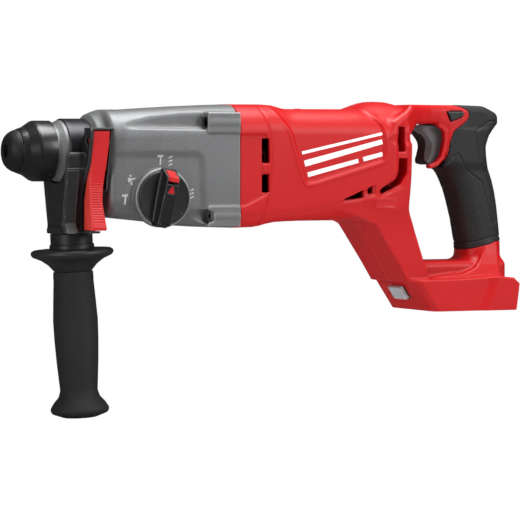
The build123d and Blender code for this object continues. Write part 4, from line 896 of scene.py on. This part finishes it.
DUST_CAP = rounded([
    (0.0, 5.0, 0.3), (0.0, 9.2, 0.6), (0.9, 10.9, 1.2), (2.6, 12.7, 2.5), (5.2, 14.2, 3),
    (8.35, 15.35, 0.5), (8.35, 10.1, 0.2), (2.95, 10.1, 0.2), (2.95, 5.0, 0.2)])
CHUCK_SLEEVE = rounded([
    (8.55, 12.4, 0.2), (8.55, 15.5, 0.4), (12.7, 16.9, 2), (18.7, 20.8, 2), (20.2, 21.25, 1),
    (26.0, 21.3, 0), (31.9, 21.25, 0.5), (31.9, 20.8, 0.2), (30.7, 20.25, 0.2),
    (20.7, 20.25, 0.2), (20.7, 12.4, 0.2)])
CLAMP_BAND = rounded([
    (40.35, 21.55, 0.1), (40.35, 22.75, 0.45), (44, 22.78, 0), (53.5, 22.78, 0),
    (57.35, 22.75, 0.45), (57.35, 21.55, 0.1)])
GRIP_CORE = rounded([
    (57.45, 4.4, 0), (57.45, 14.6, 0.7), (58.6, 14.9, 0.8), (65.2, 14.9, 0.2),
    (65.6, 15.7, 0.4), (68.4, 15.8, 0.3), (68.9, 27.2, 0.6), (70.0, 28.9, 1.0),
    (71.8, 29.2, 1.2), (73.6, 28.0, 1.5), (76.2, 22.0, 4), (79.7, 17.2, 5), (84.5, 13.1, 0.3),
    (95, 12.0, 0), (168, 11.4, 0), (178, 14.0, 0.2), (178, 4.4, 0), (97, 4.4, 0),
    (97, 7.1, 0), (90, 7.1, 0), (90, 4.4, 0)])
GRIP_COVER = rounded([
    (84.6, 13.1, 0.1), (84.6, 14.0, 0.5), (88, 14.2, 0), (91, 14.1, 4), (105, 15.0, 20),
    (119, 15.8, 20), (133, 15.5, 20), (147, 14.8, 20), (161, 13.8, 10), (168.4, 13.2, 6),
    (173, 14.6, 5), (177, 18.2, 5), (181.5, 21.0, 3.5), (184.4, 19.8, 2.5),
    (187.3, 12.0, 3), (187.3, 0.0, 0), (178.1, 0.0, 0), (178.1, 14.05, 0.2),
    (168.0, 11.45, 0), (95, 12.05, 0)])

# ---------------------------------------------------------------- raised marks


def bar(x0, z0, x1, z1, width, end_width=None):
    """Quad for a straight stroke, tapered if end_width is given."""
    end_width = width if end_width is None else end_width
    along = np.array([x1 - x0, z1 - z0], float)
    along /= np.hypot(*along)
    across = np.array([-along[1], along[0]])
    start, end = np.array([x0, z0]), np.array([x1, z1])
    return [tuple(start - across * width / 2), tuple(end - across * end_width / 2),
            tuple(end + across * end_width / 2), tuple(start + across * width / 2)]


def moved(quads, to_x, to_z, turn=0.0, scale=1.0):
    cosine, sine = math.cos(turn), math.sin(turn)
    return [[(to_x + scale * (x * cosine - z * sine), to_z + scale * (x * sine + z * cosine))
             for x, z in quad] for quad in quads]


HAMMER_ICON = [bar(-2.3, 2.6, 1.9, 2.9, 1.7, 1.5), bar(0.2, 2.4, -0.3, -3.6, 1.1, 1.2)]
DRILL_ICON = [bar(-1.3, 2.2, 1.4, 3.3, 1.0), bar(-1.3, -0.4, 1.4, 0.7, 1.0),
              bar(-1.3, -3.0, 1.4, -1.9, 1.0)]
TURN_ICON = [bar(-3.3, 0, -0.2, 0, 4.2, 3.4), bar(-0.3, 0, 4.2, 0.2, 1.5, 1.2),
             bar(-1.4, 3.9, 0.8, 2.7, 1.0), bar(0.8, 2.7, 0.2, 4.6, 0.9),
             bar(-1.8, -3.6, 0.6, -2.8, 1.0), bar(-1.6, -3.9, 0.4, -5.0, 0.9)]
MODE_MARKS = (moved(HAMMER_ICON, 103.0, -6.3) + moved(DRILL_ICON, 110.4, -7.0)
              + moved(TURN_ICON, 81.5, -19.8, turn=0.2, scale=0.75)
              + moved(HAMMER_ICON, 77.2, -33.7) + moved(DRILL_ICON, 126.6, -30.0))
STRIPES = [bar(214.9, -9.0, 277.6, 6.8, 4.4, 3.4), bar(217.4, -17.0, 258.0, -7.0, 3.4, 3.0),
           bar(262.0, -6.0, 277.6, -2.2, 3.2, 3.0), bar(212.8, -1.4, 277.6, 12.6, 2.2, 2.0)]
LABEL = [(271.9, -35.4), (288.6, -35.4), (288.6, -41.0), (271.9, -41.0)]

# ---------------------------------------------------------------- materials


def fresh_tree(owner):
    """Empty the owner's node tree and return a function that adds nodes to it."""
    owner.use_nodes = True
    tree = owner.node_tree
    tree.nodes.clear()

    def add(kind, inputs=None, **settings):
        """Add a node; an input given an output socket is linked, any other is set."""
        node = tree.nodes.new("ShaderNode" + kind)
        for name, value in settings.items():
            setattr(node, name, value)
        for socket, value in (inputs or {}).items():
            if isinstance(value, bpy.types.NodeSocket):
                tree.links.new(value, node.inputs[socket])
            else:
                node.inputs[socket].default_value = value
        return node
    return add


def linear(color):
    return [pow(part / 255.0, 2.2) for part in color]


def surface(name, color, rough, mottle, grain, bump, bump_depth, metal=0.0, mottle_scale=45.0,
            grain_scale=2400, edge_wear_and_highlight=0.0, edge_wear_and_highlight_color=None, coat=0.0, spec=0.5, rough_spread=0.08,
            turning_pitch=None, transmission=0.0):
    """Material with slow mottling, fine grain, edges lightened by wear and a painted highlight,
    and optional turning lines.

    color and edge_wear_and_highlight_color are 0-255; mottle and grain are tone spreads either
    side of 1;
    bump_depth and turning_pitch (along x) are metres.
    """
    material = bpy.data.materials.new(name)
    add = fresh_tree(material)
    place_on = add("TexCoord").outputs["Object"]
    slow = add("TexNoise", {"Vector": place_on, "Scale": mottle_scale, "Detail": 4.0})
    fine = add("TexNoise", {"Vector": place_on, "Scale": grain_scale, "Detail": 2.0})
    fine = fine.outputs["Fac"]

    def tone(scale):
        return tuple(part * scale for part in linear(color)) + (1.0,)

    def grained(centre, spread):
        return add("MapRange", {"Value": fine, "From Min": 0.3, "From Max": 0.7,
                                "To Min": centre - spread, "To Max": centre + spread}
                   ).outputs["Result"]

    mottled = add("Mix", {"Factor": slow.outputs["Fac"], "A": tone(1 - mottle),
                          "B": tone(1 + mottle)}, data_type="RGBA")
    shade = add("VectorMath", {0: mottled.outputs["Result"], "Scale": grained(1, grain)},
                operation="SCALE").outputs["Vector"]
    # pointiness lightens sharp edges towards the edge colour: partly wear, partly a painted edge
    # highlight
    if edge_wear_and_highlight > 0:
        edges = add("MapRange", {"Value": add("NewGeometry").outputs["Pointiness"],
                                 "From Min": 0.515, "From Max": 0.60,
                                 "To Min": 0.0, "To Max": edge_wear_and_highlight})
        shade = add("Mix", {"Factor": edges.outputs["Result"], "A": shade,
                            "B": (*linear(edge_wear_and_highlight_color), 1.0)}, data_type="RGBA").outputs["Result"]
    height = fine
    if turning_pitch:
        split = add("SeparateXYZ", {0: place_on})
        phase = add("Math", {0: split.outputs["X"], 1: 2 * math.pi / turning_pitch},
                    operation="MULTIPLY")
        wave = add("Math", {0: phase.outputs[0]}, operation="SINE")
        height = add("Math", {0: wave.outputs[0], 1: fine}, operation="ADD").outputs[0]
    relief = add("Bump", {"Strength": bump, "Distance": bump_depth, "Height": height})
    shader = add("BsdfPrincipled", {
        "Base Color": shade, "Roughness": grained(rough, rough_spread),
        "Normal": relief.outputs["Normal"], "Metallic": metal, "Specular IOR Level": spec,
        "Coat Weight": coat, "Coat Roughness": 0.25, "Transmission Weight": transmission})
    add("OutputMaterial", {0: shader.outputs[0]})
    return material


# each edge colour below lightens sharp edges: partly wear, partly a painted edge highlight
RED = surface(
    "red_plastic", color=(184, 8, 16), rough=0.46, mottle=0.02, grain=0.05, grain_scale=2600,
    bump=0.5, bump_depth=0.00006, edge_wear_and_highlight=0.45, edge_wear_and_highlight_color=(226, 70, 72), spec=0.36)
LEVER_FINISH = dict(rough=0.42, mottle=0.02, grain=0.04, grain_scale=2600, bump=0.4,
                    bump_depth=0.00005, spec=0.42)
LEVER_RED = surface("lever_plastic", color=(196, 20, 26), edge_wear_and_highlight=0.5, edge_wear_and_highlight_color=(255, 120, 110),
                    **LEVER_FINISH)
# lighter copy of the lever red for its -x faces: painted light falling on that side
LEVER_PAINTED_HIGHLIGHT = surface("lever_painted_highlight_plastic", color=(240, 74, 66), edge_wear_and_highlight=0.4,
                     edge_wear_and_highlight_color=(255, 140, 130), **LEVER_FINISH)
# lighter grey for the trigger's side faces: a painted highlight on faces that lie in the arm's
# shade
TRIGGER_PAINTED_HIGHLIGHT = surface(
    "trigger_side_painted_highlight", color=(92, 92, 94), rough=0.42, mottle=0.05, grain=0.10,
    bump=0.5, bump_depth=0.00006, edge_wear_and_highlight=0.3, edge_wear_and_highlight_color=(150, 150, 152), spec=0.45)
BLACK = surface(
    "black_plastic", color=(38, 38, 40), rough=0.46, mottle=0.06, grain=0.12, grain_scale=2200,
    bump=0.6, bump_depth=0.00008, edge_wear_and_highlight=0.55, edge_wear_and_highlight_color=(128, 128, 132))
DIAL_BLACK = surface(
    "dial_plastic", color=(30, 30, 31), rough=0.38, mottle=0.05, grain=0.10,
    bump=0.5, bump_depth=0.00006, edge_wear_and_highlight=0.6, edge_wear_and_highlight_color=(140, 140, 144))
SLEEVE_BLACK = surface(
    "sleeve_plastic", color=(30, 30, 31), rough=0.33, mottle=0.04, grain=0.08, grain_scale=2200,
    bump=0.3, bump_depth=0.00005, edge_wear_and_highlight=0.3, edge_wear_and_highlight_color=(120, 120, 124), spec=0.55, coat=0.15)
RUBBER = surface(
    "grip_rubber", color=(40, 40, 41), rough=0.58, mottle=0.08, grain=0.16, grain_scale=2600,
    bump=0.9, bump_depth=0.00012, edge_wear_and_highlight=0.3, edge_wear_and_highlight_color=(96, 96, 98), spec=0.38)
GRIP_RUBBER = surface(
    "side_grip_rubber", color=(40, 40, 41), rough=0.66, mottle=0.07, mottle_scale=60,
    grain=0.16, grain_scale=2800, bump=1.0, bump_depth=0.00014, edge_wear_and_highlight=0.2,
    edge_wear_and_highlight_color=(96, 96, 98), spec=0.36)
CAP_RUBBER = surface(
    "cap_rubber", color=(30, 30, 31), rough=0.5, mottle=0.08, grain=0.14,
    bump=0.7, bump_depth=0.0001, spec=0.4)
CAST = surface(
    "cast_metal", color=(118, 119, 120), rough=0.46, metal=0.5, mottle=0.05, mottle_scale=35,
    grain=0.14, grain_scale=1500, bump=0.9, bump_depth=0.00022, edge_wear_and_highlight=0.65,
    edge_wear_and_highlight_color=(226, 226, 228), rough_spread=0.1)
STEEL = surface(
    "steel", color=(186, 187, 190), rough=0.26, metal=1.0, mottle=0.04, mottle_scale=90,
    grain=0.06, grain_scale=3200, bump=0.4, bump_depth=0.00003, edge_wear_and_highlight=0.2,
    edge_wear_and_highlight_color=(220, 220, 224), turning_pitch=0.0006)
DARK_STEEL = surface(
    "blackened_steel", color=(54, 54, 57), rough=0.38, metal=0.75, mottle=0.06, grain=0.10,
    grain_scale=2200, bump=0.5, bump_depth=0.00006, edge_wear_and_highlight=0.8, edge_wear_and_highlight_color=(190, 190, 194))
ALUMINIUM = surface(
    "aluminium", color=(205, 206, 209), rough=0.34, metal=1.0, mottle=0.04, grain=0.08,
    grain_scale=2600, bump=0.5, bump_depth=0.00005, turning_pitch=0.0005)
COPPER = surface(
    "copper", color=(196, 116, 72), rough=0.34, metal=1.0, mottle=0.08, mottle_scale=120,
    grain=0.12, grain_scale=2600, bump=0.6, bump_depth=0.00006, turning_pitch=0.0007)
BRASS = surface(
    "brass", color=(206, 168, 92), rough=0.30, metal=1.0, mottle=0.06, grain=0.08,
    bump=0.4, bump_depth=0.00004, turning_pitch=0.0005)
BOARD = surface(
    "board", color=(22, 92, 52), rough=0.42, mottle=0.18, mottle_scale=260, grain=0.12,
    grain_scale=1800, bump=0.8, bump_depth=0.0001, coat=0.3)
WIRE = surface(
    "wire_insulation", color=(176, 30, 30), rough=0.45, mottle=0.06, grain=0.08,
    bump=0.5, bump_depth=0.00005)
LENS = surface(
    "lens", color=(176, 180, 184), rough=0.22, mottle=0.04, grain=0.06, grain_scale=1400,
    bump=0.6, bump_depth=0.0001, edge_wear_and_highlight=0.3, edge_wear_and_highlight_color=(235, 238, 240), transmission=0.15,
    coat=0.4)
WHITE_MARK = surface(
    "white_mark", color=(246, 240, 240), rough=0.42, mottle=0.02, grain=0.03,
    bump=0.3, bump_depth=0.00003)
GREY_MARK = surface(
    "grey_mark", color=(196, 198, 200), rough=0.40, mottle=0.04, grain=0.06,
    bump=0.4, bump_depth=0.00005, metal=0.3)
PLATE = surface(
    "label_plate", color=(188, 26, 32), rough=0.34, mottle=0.03, grain=0.04,
    bump=0.3, bump_depth=0.00003, coat=0.2)

# CAD nodes that stay in view; those not listed are steel.
NODE_LOOKS = {
    "gear_case_screws": DARK_STEEL, "housing_screws": DARK_STEEL, "bearing_plate": CAST,
    "piston": ALUMINIUM, "terminal_blades": COPPER, "motor_windings": COPPER,
    "spindle_rear_bearing": BRASS, "led_board": BOARD, "control_board": BOARD, "wires": WIRE,
    "trigger_switch": BLACK, "terminal_block": BLACK, "motor_fan": BLACK,
    "striker_o_ring": CAP_RUBBER, "neck_seal": CAP_RUBBER}

# ---------------------------------------------------------------- build the pieces

ROOT = "body"


def place(ob, look, body, slot, *nodes):
    """Give a piece its look, the body it rides on and the CAD nodes it replaces."""
    ob.data.materials.append(look)
    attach(ob, body)
    if nodes:
        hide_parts(*nodes)
    return ob


def paint_lit_faces(ob, look, chosen):
    """Give the faces whose normal is chosen a second, lighter material: painted light on the side
    they face.
    """
    ob.data.materials.append(look)
    for face in ob.data.polygons:
        if chosen(face.normal):
            face.material_index = 1


def side_of(node):
    low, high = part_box(node)
    return -1 if low.y + high.y < 0 else 1


def half_span(side, width):
    return (-width, 0.5) if side < 0 else (-0.5, width)


place(field_mesh("gear_case_shell", gear_case, (29, -38, -56), (165, 38, 34), cell=0.75),
      CAST, ROOT, "cast_metal", "gear_case")
for node in ("housing_left", "housing_right"):
    side = side_of(node)
    y0, y1 = half_span(side, 38)
    place(field_mesh(node + "_shell", housing_half(side), (163, y0, -118.5), (395, y1, 37),
                     cell=0.8), RED, ROOT, "red_plastic", node)
for node in ("grip_overmold_left", "grip_overmold_right"):
    side = side_of(node)
    y0, y1 = half_span(side, 19)
    place(field_mesh(node + "_skin", skin_half(side), (320, y0, -76), (395, y1, 37), cell=0.5),
          RUBBER, ROOT, "grip_rubber", node)
place(field_mesh("clamp_yoke_body", clamp_yoke, (34.5, -41, -62), (66, 27, 17), cell=0.4),
      BLACK, "side_handle", "black_plastic", "clamp_yoke")
lever = place(
    field_mesh("depth_lever_body", depth_lever, (50, -39, -56), (64, -18, 15), cell=0.3),
    LEVER_RED, "depth_lever", "red_plastic", "depth_stop_lever")
# the -x faces get the lighter red, a painted highlight
paint_lit_faces(lever, LEVER_PAINTED_HIGHLIGHT, lambda normal: normal.x < -0.7)
place(field_mesh("mode_dial_knob", mode_dial, (83, -51, -55), (125, -22, -10), cell=0.32),
      DIAL_BLACK, "mode_dial", "black_plastic", "mode_dial")
place(field_mesh("mode_dial_pointer", dial_pointer, (100, -51, -31), (108, -47, -22), cell=0.2),
      RED, "mode_dial", "red_plastic")
place(field_mesh("dial_lock_slab", lock_button, (98, -52, -22), (109, -41, -11), cell=0.25),
      RED, "dial_button", "red_plastic", "dial_lock_button")
blade = place(field_mesh("trigger_blade", trigger, (309, -10, -12), (350, 10, 20), cell=0.35),
              BLACK, "trigger", "black_plastic", "trigger")
# side faces get the lighter grey, a painted highlight
paint_lit_faces(blade, TRIGGER_PAINTED_HIGHLIGHT, lambda normal: abs(normal.y) > 0.6)
place(field_mesh("direction_selector_bar", direction_selector, (338, -20, 21), (354, 20, 30),
                 cell=0.35), BLACK, "direction_selector", "black_plastic", "direction_selector")
place(field_mesh("lamp_lens", lamp_lens, (303, -11, -111), (314, 11, -97), cell=0.3),
      LENS, ROOT, "lens", "led_lens")
place(lathe("dust_cap_ring", DUST_CAP), CAP_RUBBER, "spindle", "cap_rubber", "dust_cap")
place(lathe("chuck_sleeve_shell", CHUCK_SLEEVE),
      SLEEVE_BLACK, "chuck_sleeve", "black_plastic", "chuck_sleeve")
place(lathe("clamp_band_ring", CLAMP_BAND),
      DARK_STEEL, "side_handle", "blackened_steel", "clamp_band")
HANDLE_ORIGIN = (HANDLE_X, 0.0, 0.0)
place(lathe("side_grip_flange", GRIP_CORE, HANDLE_ORIGIN, HANDLE_AXIS),
      BLACK, "side_grip", "black_plastic", "side_grip_core")
place(lathe("side_grip_sleeve", GRIP_COVER, HANDLE_ORIGIN, HANDLE_AXIS),
      GRIP_RUBBER, "side_grip", "grip_rubber", "side_grip_cover")

place(marks("mode_marks", MODE_MARKS, -1, gear_case), GREY_MARK, ROOT, "cast_metal")
for side, tag in ((-1, "near"), (1, "far")):
    place(marks("panel_stripes_" + tag, STRIPES, side, housing_outer, proud=0.06, sink=0.3,
                count=9), WHITE_MARK, ROOT, "red_plastic")
place(marks("label_plate_near", [LABEL], -1, housing_outer, proud=0.10, sink=0.3),
      PLATE, ROOT, "red_plastic")

for name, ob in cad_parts.items():
    look = NODE_LOOKS.get(name, STEEL)
    if not ob.material_slots:
        ob.data.materials.append(look)
    for slot in ob.material_slots:
        slot.link = "OBJECT"
        slot.material = look

# ---------------------------------------------------------------- floor, world, light, camera
# This section is in metres.

WHITE = (1, 1, 1, 1)
# Floor section swept along x, curving up behind the tool: (y, z)
FLOOR_SECTION = [(-1.4, -0.1905), (1.6, -0.1905), (2.0, -0.17), (2.35, -0.08), (2.55, 0.1),
                 (2.6, 0.4), (2.6, 2.2)]
FLOOR_X = (-3.0, -1.0, 1.0, 3.4)
FLOOR_GLOSSY = 0.08  # floor glow seen in reflections
WORLD_STRENGTH = 0.22
GLOSSY_STRENGTH = 0.06


def floor_material():
    """Plain white to the camera, dim in reflections, diffuse to all other rays."""
    material = bpy.data.materials.new("floor")
    add = fresh_tree(material)
    rays = add("LightPath").outputs
    diffuse = add("BsdfDiffuse", {0: (0.82, 0.82, 0.82, 1)})
    white = add("Emission", {0: WHITE, 1: 1.0})
    dim = add("Emission", {0: WHITE, 1: FLOOR_GLOSSY})
    unseen = add("MixShader", {0: rays["Is Glossy Ray"], 1: diffuse.outputs[0],
                               2: dim.outputs[0]})
    mixed = add("MixShader", {0: rays["Is Camera Ray"], 1: unseen.outputs[0],
                              2: white.outputs[0]})
    add("OutputMaterial", {0: mixed.outputs[0]})
    return material


def build_floor():
    bm = bmesh.new()
    rows = [[bm.verts.new((x, y, z)) for x in FLOOR_X] for y, z in FLOOR_SECTION]
    for row, following in zip(rows[:-1], rows[1:]):
        for i in range(len(FLOOR_X) - 1):
            bm.faces.new((row[i], row[i + 1], following[i + 1], following[i]))
    floor = add_object("floor", mesh_from_bmesh("floor", bm))
    floor.data.materials.append(floor_material())


def build_world():
    """White world: full strength to the camera, weaker as light and in reflections."""
    world = bpy.data.worlds.new("studio")
    bpy.context.scene.world = world
    add = fresh_tree(world)
    rays = add("LightPath").outputs
    unseen = add("Math", {0: rays["Is Glossy Ray"], 1: GLOSSY_STRENGTH - WORLD_STRENGTH,
                          2: WORLD_STRENGTH}, operation="MULTIPLY_ADD")
    strength = add("Math", {0: rays["Is Camera Ray"], 1: 1.0 - WORLD_STRENGTH,
                            2: unseen.outputs[0]}, operation="MULTIPLY_ADD")
    background = add("Background", {0: WHITE, 1: strength.outputs[0]})
    add("OutputWorld", {0: background.outputs[0]})


def lamp(name, location, target, size, power):
    """Square area light aimed at the target; power in watts."""
    light = bpy.data.lights.new(name, "AREA")
    light.shape = "RECTANGLE"
    light.size = light.size_y = size
    light.energy = power
    ob = add_object(name, light)
    ob.location = location
    aim = Vector(target) - Vector(location)
    ob.rotation_euler = aim.to_track_quat("-Z", "Y").to_euler()


def build_camera():
    camera = bpy.data.cameras.new("camera")
    camera.sensor_width = 36
    camera.lens = 207.7
    camera.clip_end = 20
    ob = add_object("camera", camera)
    ob.location = (-0.72073, -1.96446, 0.0)
    ob.rotation_euler = (math.radians(87.92), 0, math.radians(-25))
    bpy.context.scene.camera = ob


build_floor()
build_world()
lamp("key", location=(1.25, -1.55, 0.75), target=(0.22, 0, -0.03), size=0.7, power=18)
lamp("top", location=(0.30, -0.10, 1.30), target=(0.2, 0, 0), size=0.9, power=30)
lamp("left_low", location=(-1.25, -0.75, 0.22), target=(0.05, 0, -0.03), size=0.35, power=6)
build_camera()
bpy.context.scene.view_settings.view_transform = "Standard"
